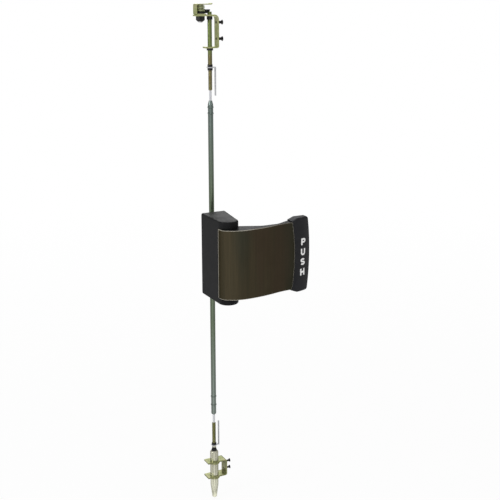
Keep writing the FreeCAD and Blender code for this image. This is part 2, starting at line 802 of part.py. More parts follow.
def make_paddle_body():
    """The black paddle behind the plate: hub, waist, thick end and a tongue for the end cap."""
    body = new_body("paddle_body")
    path = front_curve("plate_gauge") + corners(
        ("bow_place + plate_gauge", "-rear_reach"),
        ("heel_place", "-rear_reach"),
        ("grip_place", "-waist_reach"),
        ("waist_place", "-waist_reach"),
        (f"{PIVOT_X} + 0.8 * hub_radius", f"{PIVOT_Y} + 0.35 * hub_radius"),
        (f"{PIVOT_X} - 0.8 * hub_radius", "-wrap_reach"),
    )
    add_path(body, XY, path, PADDLE_HEIGHT, both=True)
    soften(body, "Fillet", "waist_blend", waist_edge)
    pivot = [(PIVOT_X, PIVOT_Y)]
    add_discs(body, XY, pivot, "hub_radius", PADDLE_HEIGHT, both=True)
    cut_bow(body, "0")
    half = f"{TONGUE_HEIGHT} / 2"
    tongue = rectangle("grip_place + waist_blend", f"-{half}", "tongue_place", half)
    add_path(body, XZ, tongue, "tongue_gauge", offset="tongue_reach", both=True)
    bore_length = f"2 * {PADDLE_HEIGHT}"
    cut_holes(body, XY, pivot, "hub_bore / 2", bore_length, both=True)
    for side in (1, -1):
        offset = f"{side} * ({PADDLE_HALF} - bush_length)"
        radius = "bush_diameter / 2 + running_fit"
        cut_holes(body, XY, pivot, radius, "2 * bush_length", offset=offset, back=side < 0)
    notch = "(hub_radius + 2 * side_gap)"
    low = "(-arm_gauge / 2 - side_gap)"
    cut_holes(body, XY, pivot, notch, f"spring_bay_top - {low}", offset=low)
    dowel = [dowel_point()]
    length = "(dowel_length + side_gap)"
    radius = "dowel_diameter / 2 + running_fit"
    cut_holes(body, XY, dowel, radius, length, offset=f"arm_gauge / 2 - {length}")
    screws = [("cap_screw_place", f"{side} * cap_screw_spacing / 2") for side in (1, -1)]
    hole = "cap_screw / 2 + running_fit"
    cut_holes(body, XZ, screws, hole, "2 * tongue_gauge", offset="tongue_reach", both=True)
    return finished(body)


def waist_edge(middle, ends):
    """The upright edges behind the paddle, where its waist starts and ends."""
    upright = abs(ends.z) > 1
    at_waist = near(middle.x, "waist_place") or near(middle.x, "grip_place")
    return upright and at_waist and near(middle.y, "-waist_reach")


def dowel_point():
    """Where the dowel that locks the arm to the hub stands, in plan."""
    x = f"{PIVOT_X} - dowel_place * sin({HALF_SWING})"
    y = f"{PIVOT_Y} - dowel_place * cos({HALF_SWING})"
    return x, y


def make_end_cap():
    """The black end piece that the hand pushes: bowed inner and outer edges and a crowned front."""
    body = new_body("end_cap")
    inner_centre = "(bow_place + seat_gap - bow_radius)"
    inner = f"{inner_centre} + sqrt(bow_radius^2 - ({CAP_FRONT_HEIGHT} / 2)^2)"
    outer_centre = "(cap_bow_place - bow_radius)"
    outer = f"{outer_centre} + sqrt(bow_radius^2 - ({CAP_HEIGHT} / 2)^2)"
    face = [
        (inner, f"-{CAP_FRONT_HEIGHT} / 2", None),
        ("cap_shoulder_place", f"-{CAP_HEIGHT} / 2", None),
        (outer, f"-{CAP_HEIGHT} / 2", (outer_centre, "0", 1)),
        (outer, f"{CAP_HEIGHT} / 2", None),
        ("cap_shoulder_place", f"{CAP_HEIGHT} / 2", None),
        (inner, f"{CAP_FRONT_HEIGHT} / 2", (inner_centre, "0", -1)),
    ]
    add_path(body, XZ, face, f"{CAP_FRONT_HEIGHT} / 4", offset="cap_back_reach")
    soften(body, "Fillet", "cap_corner", lambda m, e: abs(e.y) > 1 and m.x > size("cap_shoulder_place") + 1)
    crown_y = "(cap_crown_radius - cap_crown_reach)"
    near_x = f"(cap_crown_place - {CAP_FRONT_HEIGHT} / 8)"
    far_x = "(cap_bow_place + cap_corner)"
    near_y = f"{crown_y} - sqrt(cap_crown_radius^2 - ({near_x} - cap_crown_place)^2)"
    far_y = f"{crown_y} - sqrt(cap_crown_radius^2 - ({far_x} - cap_crown_place)^2)"
    front = [
        (near_x, "-2 * cap_crown_reach", None),
        (far_x, "-2 * cap_crown_reach", None),
        (far_x, far_y, ("cap_crown_place", crown_y, -1)),
        (near_x, near_y, None),
    ]
    cut_path(body, XY, front, f"2 * {CAP_HEIGHT}", both=True)
    soften(body, "Fillet", "cap_edge", cap_front_rim)
    soften(body, "Fillet", "soft_edge", cap_back_rim)
    half = f"({TONGUE_HEIGHT} / 2 + seat_gap)"
    mouth = rectangle("heel_place - cap_edge", f"-{half}", "tongue_place + side_gap", half)
    cut_path(body, XZ, mouth, "tongue_gauge + 2 * seat_gap", offset="tongue_reach", both=True)
    screws = [("cap_screw_place", f"{side} * cap_screw_spacing / 2") for side in (1, -1)]
    wall = "(tongue_reach - tongue_gauge / 2 - cap_back_reach)"
    cut_holes(body, XZ, screws, "cap_screw / 2 + 2 * running_fit", wall, offset="cap_back_reach")
    head = "cap_screw_head_height + side_gap"
    cut_holes(body, XZ, screws, "cap_screw_head / 2 + 2 * running_fit", head, offset="cap_back_reach")
    return finished(body)


def off_inner_line(middle):
    """True for an edge of the end cap that doesn't lie along the line where it meets the plate."""
    return middle.x > size("cap_shoulder_place") - 3 or abs(middle.z) > size(CAP_FRONT_HEIGHT) / 2 - 1


def cap_front_rim(middle, ends):
    """The rim round the front of the end cap."""
    runs_back = abs(ends.y) > abs(ends.x) + abs(ends.z)
    return off_inner_line(middle) and not runs_back and not near(middle.y, "-cap_back_reach")


def cap_back_rim(middle, ends):
    """The rim round the back of the end cap."""
    return off_inner_line(middle) and near(middle.y, "-cap_back_reach")


def make_end_cap_screws():
    """Two screws through the cap's back into the paddle's tongue."""
    members = []
    for name, side in (("upper", 1), ("lower", -1)):
        screw = flat_screw(
            f"{name}_end_cap_screw",
            "cap_screw",
            "cap_screw_head",
            "cap_screw_head_height",
            "cap_screw_length",
            "cap_screw_place",
            "-cap_back_reach - side_gap",
            f"{side} * cap_screw_spacing / 2",
            "+Y",
        )
        members.append(screw)
    return finished(group("end_cap_screws", members))


def make_hub_bushes():
    """A flanged bush in each end of the hub."""
    for name, side in (("upper", 1), ("lower", -1)):
        end = f"{side} * {PADDLE_HALF}"
        inner = f"{side} * ({PADDLE_HALF} - bush_length)"
        outer = f"{side} * ({PADDLE_HALF} + bush_flange_gauge)"
        bore = f"{PIN_RADIUS} + running_fit"
        profile = corners(
            (bore, inner),
            ("bush_diameter / 2", inner),
            ("bush_diameter / 2", end),
            ("bush_flange / 2", end),
            ("bush_flange / 2", outer),
            (bore, outer),
        )
        finished(turned(f"{name}_hub_bush", profile, PIVOT_X, PIVOT_Y))


def make_drive_arm():
    """The steel arm at the back of the hub: eye, shank and round tip."""
    body = new_body("drive_arm", PIVOT_X, PIVOT_Y)
    lean = -size(HALF_SWING)
    body.Placement = FreeCAD.Placement(body.Placement.Base, FreeCAD.Rotation(FreeCAD.Vector(0, 0, 1), lean))
    bind(body, "Placement.Rotation.Angle", f"-{HALF_SWING}")
    add_discs(body, XY, [("0", "0")], "arm_eye / 2", "arm_gauge", both=True)
    shank = rectangle("-arm_width / 2", "0", "arm_width / 2", ARM_REACH)
    add_path(body, XY, shank, "arm_gauge", both=True)
    add_discs(body, XY, [("0", ARM_REACH)], "arm_tip / 2", "arm_gauge", both=True)
    cut_holes(body, XY, [("0", "0")], f"{PIN_RADIUS} + running_fit", "2 * arm_gauge", both=True)
    dowel = [("0", "-dowel_place")]
    cut_holes(body, XY, dowel, "dowel_diameter / 2 + running_fit", "2 * arm_gauge", both=True)
    return finished(body)


def make_arm_dowel():
    """The dowel that locks the arm to the hub."""
    x, y = dowel_point()
    high = "arm_gauge / 2"
    profile = corners(
        ("0", f"{high} - dowel_length"),
        ("dowel_diameter / 2", f"{high} - dowel_length"),
        ("dowel_diameter / 2", high),
        ("0", high),
    )
    return finished(turned("arm_dowel", profile, x, y))


# Springs


def arc_between(start, tangent, end, reach):
    """The arc that leaves start along tangent and ends at end. reach is the length of both its tangents."""
    corner = start + tangent * reach
    weight = (end - start).Length / (2 * reach)
    middle = (start + end + corner * (2 * weight)) * (1 / (2 + 2 * weight))
    return Part.Arc(start, middle, end).toShape()


def spring_path(radius, pitch, turns, start_angle, turn_way, legs):
    """A helix of quarter turns, each made of two tangent arcs, with a straight leg at each end.

    turn_way is 1 where the helix climbs anticlockwise and -1 clockwise."""
    steps = int(turns * 4)
    climb = pitch / (2 * math.pi)
    points, tangents = [], []
    for i in range(steps + 1):
        turned_by = i * math.pi / 2
        angle = start_angle + turn_way * turned_by
        east = radius * math.cos(angle)
        north = radius * math.sin(angle)
        points.append(FreeCAD.Vector(east, north, climb * turned_by))
        tangents.append(FreeCAD.Vector(-turn_way * north, turn_way * east, climb).normalize())
    edges = [Part.makeLine(points[0] - tangents[0] * legs[0], points[0])]
    for i in range(steps):
        span = points[i + 1] - points[i]
        both = tangents[i] + tangents[i + 1]
        spread = 2 * (1 - tangents[i].dot(tangents[i + 1]))
        lean = span.dot(both)
        reach = (math.sqrt(lean * lean + spread * span.dot(span)) - lean) / spread
        joint = (points[i] + tangents[i] * reach + points[i + 1] - tangents[i + 1] * reach) * 0.5
        edges.append(arc_between(points[i], tangents[i], joint, reach))
        half = (joint - points[i] - tangents[i] * reach).normalize()
        edges.append(arc_between(joint, half, points[i + 1], reach))
    edges.append(Part.makeLine(points[-1], points[-1] + tangents[-1] * legs[1]))
    return Part.Wire(edges), points[0] - tangents[0] * legs[0], tangents[0]


def least_gap(path, wire):
    """Least clear distance between parts of the wire more than half a turn apart, measured on points."""
    points = []
    for edge in path.Edges[1:-1]:
        points += edge.discretize(5)[:-1]
    half_turn = 16
    least = math.inf
    for i, point in enumerate(points):
        for other in points[i + half_turn :]:
            least = min(least, point.distanceToPoint(other))
    return least - wire


def make_spring(label, wire, radius, pitch, turns, start_angle, turn_way, legs, place):
    """A wound wire spring as one unbroken tube."""
    path, start, tangent = spring_path(radius, pitch, turns, start_angle, turn_way, legs)
    section = Part.Wire([Part.makeCircle(wire / 2, start, tangent)])
    sweep = Part.BRepOffsetAPI.MakePipeShell(path)
    sweep.add(section)
    sweep.build()
    sweep.makeSolid()
    spring = DOC.addObject("Part::Feature", label)
    spring.Label = label
    spring.Shape = sweep.shape()
    spring.Placement = FreeCAD.Placement(place, FreeCAD.Rotation())
    print(f"{label}: least gap between turns {least_gap(path, wire):.2f} mm")
    return finished(spring)


def make_return_spring():
    """The torsion spring round the pivot pin, above the arm's eye."""
    low = size("arm_gauge / 2 + 3 * side_gap + return_wire / 2")
    place = FreeCAD.Vector(size(PIVOT_X), size(PIVOT_Y), low)
    legs = (size("return_leg"), size("return_leg"))
    return make_spring(
        "return_spring",
        size("return_wire"),
        size("return_coil_radius"),
        size("return_pitch"),
        size("return_turns"),
        math.pi,
        1,
        legs,
        place,
    )


def make_dog_spring():
    """The torsion spring round the dog's sleeve in the header latch."""
    low = size("dog_bottom + dog_base + seat_gap + dog_wire / 2")
    place = FreeCAD.Vector(size("post_place"), size("rod_depth"), low)
    legs = (size("dog_leg"), size("dog_leg"))
    return make_spring(
        "dog_spring",
        size("dog_wire"),
        size("dog_coil_radius"),
        size("dog_pitch"),
        size("dog_turns"),
        math.pi,
        -1,
        legs,
        place,
    )


# Mechanism between the housing and the rods


def make_transfer_slide():
    """The slide plate: a window for the arm's tip, two inclined cam slots and two straight guide slots."""
    body = new_body("transfer_slide")
    plate = rectangle(SLIDE_LEFT, f"-{SLIDE_HALF}", SLIDE_RIGHT, SLIDE_HALF)
    add_path(body, XZ, plate, "slide_gauge", offset=SLIDE_BACK)
    soften(body, "Fillet", "slot_web", lambda m, e: abs(e.y) > 1)
    through = "2 * slide_gauge"
    centre = f"({PIVOT_X} + {ARM_REACH} * sin({HALF_SWING}))"
    half = "(arm_tip / 2 + side_gap / 2)"
    window = rectangle(
        f"{centre} - {half}",
        "-arm_gauge / 2 - side_gap",
        f"{centre} + {half}",
        "arm_gauge / 2 + side_gap",
    )
    cut_path(body, XZ, window, through, offset=SLIDE_BACK, both=True)
    end = f"(cam_pin_place + {SLIDE_TRAVEL})"
    for side in (1, -1):
        high = f"{side} * {CAM_HEIGHT}"
        low = f"{side} * ({CAM_HEIGHT} - rod_travel)"
        cam = slot("cam_pin_place", high, end, low, CAM_SLOT_RADIUS)
        cut_path(body, XZ, cam, through, offset=SLIDE_BACK, both=True)
        level = f"{side} * {GUIDE_HEIGHT}"
        straight = slot("cam_pin_place", level, end, level, "guide_diameter / 2 + cam_slot_gap")
        cut_path(body, XZ, straight, through, offset=SLIDE_BACK, both=True)
    return finished(body)


def make_slide_guide_studs():
    """Two shouldered studs, riveted in the back plate, that the slide runs on."""
    members = []
    seat = f"(-{PLATE_FRONT})"
    shoulder = f"({seat} - seat_gap - slide_gauge - seat_gap)"
    for name, side in (("upper", 1), ("lower", -1)):
        profile = corners(
            ("0", f"{shoulder} - guide_head_height"),
            ("guide_head / 2", f"{shoulder} - guide_head_height"),
            ("guide_head / 2", shoulder),
            ("guide_diameter / 2", shoulder),
            ("guide_diameter / 2", seat),
            ("guide_tail / 2", seat),
            ("guide_tail / 2", "-plate_recess"),
            ("0", "-plate_recess"),
        )
        level = f"{side} * {GUIDE_HEIGHT}"
        members.append(turned(f"{name}_guide_stud", profile, "cam_pin_place", 0, level, "+Y"))
    return finished(group("slide_guide_studs", members))


def make_case_spacers():
    """Two sleeves, as long as the stile wall is thick, between the back plate and the case."""
    members = []
    for name, side in (("upper", 1), ("lower", -1)):
        bore = "case_screw / 2 + 2 * running_fit"
        profile = rectangle(bore, "-plate_recess", "spacer_diameter / 2", "stile_gap")
        level = f"{side} * {CASE_SCREW_HEIGHT}"
        members.append(turned(f"{name}_case_spacer", profile, "case_screw_place", 0, level, "+Y"))
    return finished(group("case_spacers", members))


def case_screw_points():
    """Centres of the two case screws."""
    return [("case_screw_place", CASE_SCREW_HEIGHT), ("case_screw_place", f"-{CASE_SCREW_HEIGHT}")]


def make_actuator_case():
    """The steel case in the stile, open at its back, with a post round each case screw."""
    body = new_body("actuator_case")
    right = "case_left + case_width"
    shell = rectangle("case_left", f"-{CASE_HALF}", right, CASE_HALF)
    add_path(body, XZ, shell, "case_depth", offset="-stile_gap", back=True)
    soften(body, "Fillet", "soft_edge", lambda m, e: abs(e.y) > 1)
    inner_half = f"({CASE_HALF} - case_wall)"
    inner = rectangle("case_left + case_wall", f"-{inner_half}", f"{right} - case_wall", inner_half)
    cut_path(body, XZ, inner, "case_depth", offset="-stile_gap - case_wall", back=True)
    post = "(case_depth - case_wall / 2)"
    for point in case_screw_points():
        add_discs(body, XZ, [point], "case_post_radius", post, offset=f"-{CASE_BACK}")
    hole = "case_screw / 2 + 2 * running_fit"
    cut_holes(body, XZ, case_screw_points(), hole, "2 * case_depth", offset=f"-{CASE_BACK} - case_wall")
    for side in (1, -1):
        high = f"{side} * {CAM_HEIGHT}"
        low = f"{side} * ({CAM_HEIGHT} - rod_travel)"
        path = slot("cam_pin_place", high, "cam_pin_place", low, "cam_pin_diameter / 2 + side_gap")
        cut_path(body, XZ, path, "2 * case_wall", offset="-stile_gap", both=True)
    bore = "guide_sleeve / 2 + running_fit"
    cut_holes(body, XY, [("rod_place", "rod_depth")], bore, f"3 * {CASE_HALF}", both=True)
    return finished(body)


def make_case_cover():
    """The plate that closes the case."""
    body = new_body("case_cover")
    right = "case_left + case_width"
    plate = rectangle("case_left", f"-{CASE_HALF}", right, CASE_HALF)
    add_path(body, XZ, plate, "cover_gauge", offset=f"-{CASE_BACK}", back=True)
    soften(body, "Fillet", "soft_edge", lambda m, e: abs(e.y) > 1)
    hole = "case_screw / 2 + 2 * running_fit"
    cut_holes(body, XZ, case_screw_points(), hole, "4 * cover_gauge", offset=f"-{CASE_BACK}", both=True)
    return finished(body)


def make_case_screws():
    """Two long screws that draw the case against the stile wall."""
    members = []
    back = f"({CASE_BACK} + cover_gauge + case_screw_head_height)"
    for name, side in (("upper", 1), ("lower", -1)):
        screw = flat_screw(
            f"{name}_case_screw",
            "case_screw",
            "case_screw_head",
            "case_screw_head_height",
            f"{back} + {PLATE_FRONT} - side_gap",
            "case_screw_place",
            back,
            f"{side} * {CASE_SCREW_HEIGHT}",
            "+Y",
        )
        members.append(screw)
    return finished(group("case_screws", members))


def make_carrier(name, side):
    """The block that joins a cam pin to a rod tube. side is 1 above the middle and -1 below."""
    body = new_body(f"{name}_carrier")
    floor = f"{side} * {CARRIER_FLOOR}"
    lug_left = "(case_left + case_wall + side_gap)"
    lug_right = "(cam_pin_place + lug_half_width + case_wall)"
    front = "(stile_gap + case_wall + lug_front_gap)"
    rear = f"({CASE_BACK} - side_gap)"
    lug = rectangle(lug_left, front, lug_right, rear)
    add_path(body, XY, lug, f"{LUG_HEIGHT} - {CARRIER_FLOOR}", offset=floor, back=side < 0)
    socket = rectangle(
        f"{lug_right} - case_wall",
        f"rod_depth - {TUBE_RADIUS} - socket_wall / 4",
        f"rod_place + {TUBE_RADIUS} + socket_wall / 4",
        rear,
    )
    add_path(body, XY, socket, f"{SOCKET_HEIGHT} - {CARRIER_FLOOR}", offset=floor, back=side < 0)
    bore = f"{TUBE_RADIUS} + running_fit"
    start = f"{side} * ({TUBE_START} - running_fit)"
    cut_holes(body, XY, [("rod_place", "rod_depth")], bore, SOCKET_HEIGHT, offset=start, back=side < 0)
    pin = [("cam_pin_place", f"{side} * {CAM_HEIGHT}")]
    depth = f"({rear} - {front} - case_wall)"
    cut_holes(body, XZ, pin, "cam_pin_diameter / 2 + running_fit", depth, offset=f"-{front}", back=True)
    cross = [("rod_place", f"{side} * {CROSS_PIN_HEIGHT}")]
    cut_holes(body, XZ, cross, "cross_pin / 2 + running_fit", "4 * rod_depth", both=True)
    return finished(body)


def make_cam_pin(name, side):
    """The pin that follows an inclined slot of the slide."""
    front = "(stile_gap + case_wall + lug_front_gap)"
    rear = f"({CASE_BACK} - side_gap)"
    inner = f"({rear} - case_wall - running_fit)"
    outer = f"(-{SLIDE_FRONT} + seat_gap)"
    profile = corners(
        ("0", outer),
        ("cam_pin_diameter / 2", outer),
        ("cam_pin_diameter / 2", inner),
        ("0", inner),
    )
    level = f"{side} * {CAM_HEIGHT}"
    return finished(turned(f"{name}_cam_pin", profile, "cam_pin_place", 0, level, "+Y"))


def make_tube_pin(name, side):
    """The cross pin that holds a rod tube in its carrier."""
    low = f"(rod_depth - {TUBE_RADIUS} - socket_wall / 4 + running_fit)"
    high = f"({CASE_BACK} - side_gap - running_fit)"
    profile = corners(
        ("0", low),
        ("cross_pin / 2", low),
        ("cross_pin / 2", high),
        ("0", high),
    )
    level = f"{side} * {CROSS_PIN_HEIGHT}"
    return finished(turned(f"{name}_tube_pin", profile, "rod_place", 0, level, "+Y"))


def make_rod_guide(name, side):
    """The flanged bush that guides a rod tube through the case's end."""
    inner = f"{side} * ({CASE_HALF} - case_wall)"
    face = f"{side} * {CASE_HALF}"
    outer = f"{side} * ({CASE_HALF} + guide_flange_gauge)"
    bore = f"{TUBE_RADIUS} + running_fit"
    profile = corners(
        (bore, inner),
        ("guide_sleeve / 2", inner),
        ("guide_sleeve / 2", face),
        ("guide_flange / 2", face),
        ("guide_flange / 2", outer),
        (bore, outer),
    )
    return finished(turned(f"{name}_rod_guide", profile, "rod_place", "rod_depth"))


# Rods


def bead(radius, level, side):
    """A rounded ridge round a tube, as four profile corners from the lower level to the upper."""
    half = "bead_width / 2"
    crest = f"{radius} + bead_rise"
    return [
        (radius, f"{side} * ({level}) - {side} * {half}", None),
        (crest, f"{side} * ({level}) - {side} * {half} / 2", None),
        (crest, f"{side} * ({level}) + {side} * {half} / 2", None),
        (radius, f"{side} * ({level}) + {side} * {half}", None),
    ]


def drill_cross_hole(body, side):
    """The cross pin's hole through a tube."""
    cross = [("0", f"{side} * {CROSS_PIN_HEIGHT}")]
    cut_holes(body, XZ, cross, "cross_pin / 2 + running_fit", "2 * tube_diameter", both=True)


def make_top_rod_tube():
    """The upper rod tube, with two beads and a drawn tip."""
    bore = "tube_bore / 2"
    stud = "coupling_diameter / 2 + running_fit"
    neck = "(top_bead_two - tube_diameter)"
    profile = (
        corners((bore, TUBE_START), (TUBE_RADIUS, TUBE_START))
        + bead(TUBE_RADIUS, "top_bead_two", 1)
        + bead(TUBE_RADIUS, "top_bead_one", 1)
        + corners(
            (TUBE_RADIUS, "top_tube_shoulder"),
            ("tube_tip_diameter / 2", "top_tube_tip"),
            (stud, "top_tube_tip"),
            (stud, neck),
            (bore, neck),
        )
    )
    body = turned("top_rod_tube", profile, "rod_place", "rod_depth")
    drill_cross_hole(body, 1)
    return finished(body)


def make_bottom_rod_tube():
    """The lower rod tube, with two beads and a rounded end."""
    bore = "tube_bore / 2"
    stud = "coupling_diameter / 2 + running_fit"
    neck = "(bottom_bead_one - tube_diameter)"
    round_radius = f"({TUBE_RADIUS} - {stud})"
    lower = f"(-bottom_tube_end + {round_radius})"
    profile = (
        corners((bore, f"-{TUBE_START}"), (TUBE_RADIUS, f"-{TUBE_START}"))
        + bead(TUBE_RADIUS, "bottom_bead_one", -1)
        + bead(TUBE_RADIUS, "bottom_bead_two", -1)
        + [
            (TUBE_RADIUS, lower, (stud, lower, -1)),
            (stud, "-bottom_tube_end", None),
            (stud, f"-{neck}", None),
            (bore, f"-{neck}", None),
        ]
    )
    body = turned("bottom_rod_tube", profile, "rod_place", "rod_depth")
    drill_cross_hole(body, -1)
    return finished(body)


def make_coupling_stud(name, low, high):
    """The slim stud that joins a rod tube to its adjusting stud."""
    radius = "coupling_diameter / 2"
    profile = corners(("0", low), (radius, low), (radius, high), ("0", high))
    return finished(turned(f"{name}_coupling_stud", profile, "rod_place", "rod_depth"))


def make_adjusting_stud(name, free_end, seat, side):
    """The threaded stud: rounded and bored at its free end, with a spigot at the other.

    side is 1 where the free end points down and -1 where it points up."""
    radius = "stud_diameter / 2"
    hole = "(coupling_diameter / 2 + running_fit)"
    rounding = f"({radius} - {hole})"
    depth = f"({free_end}) + {side} * tube_diameter"
    profile = [
        (hole, free_end, (hole, f"({free_end}) + {side} * {rounding}", side)),
        (radius, f"({free_end}) + {side} * {rounding}", None),
        (radius, seat, None),
        ("spigot_diameter / 2", seat, None),
        ("spigot_diameter / 2", f"({seat}) + {side} * spigot_length", None),
        ("0", f"({seat}) + {side} * spigot_length", None),
        ("0", depth, None),
        (hole, depth, None),
    ]
    return finished(turned(f"{name}_adjusting_stud", profile, "rod_place", "rod_depth"))


def make_nut(label, low, height, width, bore, x="rod_place", y="rod_depth"):
    """A hexagon nut, its corners turned down at both ends."""
    body = new_body(label, x, y)
    add_path(body, XY, hexagon(width), height, offset=low)
    cut_holes(body, XY, [("0", "0")], bore, "4 * housing_height", offset=low, both=True)
    flat = f"({width}) / 2"
    beyond = f"(({width}) * 0.6 + side_gap)"
    fall = f"(({beyond} - {flat}) * tan(30))"
    high = f"(({low}) + ({height}))"
    for end, inward in ((f"({low})", f"({low}) + {fall}"), (high, f"{high} - {fall}")):
        groove(body, corners((flat, end), (beyond, end), (beyond, inward)))
    return body


def make_clip(name, tab_low, leg_end, side):
    """The lock clip: a tab held between nuts and a thin leg beside the stud.

    side is 1 where the leg hangs down from the tab and -1 where it stands up."""
    body = new_body(f"{name}_lock_clip", "rod_place", "rod_depth")
    leg = "(clip_leg_place - rod_place)"
    half = "clip_width / 2"
    slim = "clip_leg_width / 2"
    tab = corners(
        (f"-{half}", f"-{half}"),
        ("0", f"-{half}"),
        (half, f"-{slim}"),
        (leg, f"-{slim}"),
        (leg, slim),
        (half, slim),
        ("0", half),
        (f"-{half}", half),
    )
    add_path(body, XY, tab, "clip_gauge", offset=tab_low)
    strip = rectangle(f"{leg} - clip_gauge", f"-{slim}", leg, slim)
    if side > 0:
        top = f"({tab_low} + clip_gauge)"
        add_path(body, XY, strip, f"{top} - ({leg_end})", offset=top, back=True)
    else:
        add_path(body, XY, strip, f"({leg_end}) - ({tab_low})", offset=tab_low)
    hole = "stud_diameter / 2 + 2 * running_fit"
    cut_holes(body, XY, [("0", "0")], hole, "4 * clip_gauge", offset=tab_low, both=True)
    return finished(body)


def make_top_rod_chain():
    """Everything between the upper rod tube and the header latch that moves with the rod."""
    make_coupling_stud("top", "top_bead_two", "top_stud_end + tube_diameter - running_fit")
    make_adjusting_stud("top", "top_stud_end", "top_stud_seat", 1)
    bore = "stud_diameter / 2 + running_fit"
    upper = "(top_stud_seat - jam_nut_height)"
    tab = f"({upper} - clip_gauge)"
    lower = f"({tab} - jam_nut_height)"
    nuts = [
        make_nut("top_jam_nut_upper", upper, "jam_nut_height", "jam_nut_width", bore),
        make_nut("top_jam_nut_lower", lower, "jam_nut_height", "jam_nut_width", bore),
    ]
    finished(group("top_jam_nuts", nuts))
    make_clip("top", tab, "top_clip_end", 1)
    spigot = "(spigot_diameter / 2 + running_fit)"
    depth = "(top_stud_seat + spigot_length + running_fit)"
    profile = corners(
        (spigot, "top_stud_seat"),
        (LATCH_ROD_RADIUS, "top_stud_seat"),
        (LATCH_ROD_RADIUS, "latch_rod_top - soft_edge / 2"),
        (f"{LATCH_ROD_RADIUS} - soft_edge / 2", "latch_rod_top"),
        ("0", "latch_rod_top"),
        ("0", depth),
        (spigot, depth),
    )
    finished(turned("latch_rod", profile, "rod_place", "rod_depth"))
    high = "(top_bracket_top - bracket_gauge - side_gap)"
    bore = f"{LATCH_ROD_RADIUS} + running_fit"
    profile = rectangle(bore, f"{high} - collar_height", "collar_diameter / 2", high)
    finished(turned("stop_collar", profile, "rod_place", "rod_depth"))


# Header latch


def bracket_path(left, lower_left, web, top, bottom, upper_bend, lower_bend):
    """The side view of a strip bent to a bracket: upper flange, round bend, web, round bend, lower flange."""
    gauge = "bracket_gauge"
    under = f"({top}) - {gauge}"
    over = f"({bottom}) + {gauge}"
    inside = f"({web}) - {gauge}"
    upper_x = f"({web}) - {upper_bend}"
    upper_z = f"({top}) - {upper_bend}"
    lower_x = f"({web}) - {lower_bend}"
    lower_z = f"({bottom}) + {lower_bend}"
    return [
        (left, top, None),
        (left, under, None),
        (upper_x, under, (upper_x, upper_z, -1)),
        (inside, upper_z, None),
        (inside, lower_z, (lower_x, lower_z, -1)),
        (lower_x, over, None),
        (lower_left, over, None),
        (lower_left, bottom, None),
        (lower_x, bottom, (lower_x, lower_z, 1)),
        (web, lower_z, None),
        (web, upper_z, (upper_x, upper_z, 1)),
        (upper_x, top, None),
    ]


def make_bracket(label, path, width, flange_holes, screw_levels, screw):
    """A bent strip bracket with holes through its flanges and its web."""
    body = new_body(label, 0, "rod_depth")
    add_path(body, XZ, path, width, both=True)
    for x, radius, level in flange_holes:
        cut_holes(body, XY, [(x, "0")], radius, "4 * bracket_gauge", offset=level, both=True)
    sketch = new_sketch(body, YZ, f"({path[9][0]})")
    for level in screw_levels:
        draw_circle(sketch, "0", level, f"({screw}) / 2 + running_fit")
    cut(body, sketch, "4 * bracket_gauge", both=True)
    return finished(body)


def make_top_bracket():
    """The header latch's bracket."""
    path = bracket_path(
        "top_bracket_left",
        "top_bracket_lower_left",
        "top_web_place",
        "top_bracket_top",
        "top_bracket_bottom",
        "top_bend",
        "bend",
    )
    holes = [
        ("post_place", "post_diameter / 2 + running_fit", "top_bracket_top"),
        ("rod_place", f"{LATCH_ROD_RADIUS} + running_fit", "top_bracket_top"),
        ("rod_place", f"{LATCH_ROD_RADIUS} + guide_bush_wall + 2 * running_fit", "top_bracket_bottom"),
    ]
    levels = ["top_screw_upper", "top_screw_lower"]
    make_bracket("top_bracket", path, "bracket_width", holes, levels, "bracket_screw")


def countersunk_screw(label, shank, head, head_height, length, web, grip, level):
    """A countersunk screw standing in a bracket's web, head away from it."""
    tip = f"(({web}) - ({grip}))"
    profile = corners(
        ("0", "0"),
        (f"({shank}) / 2 - ({shank}) / 8", "0"),
        (f"({shank}) / 2", f"({shank}) / 4"),
        (f"({shank}) / 2", f"({length}) - ({head_height})"),
        (f"({head}) / 2", f"({length}) - running_fit * 6"),
        (f"({head}) / 2", length),
        ("0", length),
    )
    return turned(label, profile, tip, "rod_depth", level, "+X")


def make_top_bracket_screws():
    """The two dark screws in the header bracket's web."""
    members = [
        countersunk_screw(
            f"{name}_top_bracket_screw",
            "bracket_screw",
            "bracket_screw_head",
            "bracket_screw_head_height",
            "bracket_screw_length",
            "top_web_place",
            "bracket_screw_grip",
            level,
        )
        for name, level in (("upper", "top_screw_upper"), ("lower", "top_screw_lower"))
    ]
    return finished(group("top_bracket_screws", members))


def make_guide_bush():
    """The black bush in the header bracket's lower flange."""
    bore = f"{LATCH_ROD_RADIUS} + running_fit"
    low = "(top_bracket_bottom - guide_bush_height)"
    sleeve = f"{LATCH_ROD_RADIUS} + guide_bush_wall"
    profile = corners(
        (bore, low),
        ("guide_bush_diameter / 2", low),
        ("guide_bush_diameter / 2", "top_bracket_bottom"),
        (sleeve, "top_bracket_bottom"),
        (sleeve, "top_bracket_bottom + bracket_gauge"),
        (bore, "top_bracket_bottom + bracket_gauge"),
    )
    return finished(turned("guide_bush", profile, "rod_place", "rod_depth"))


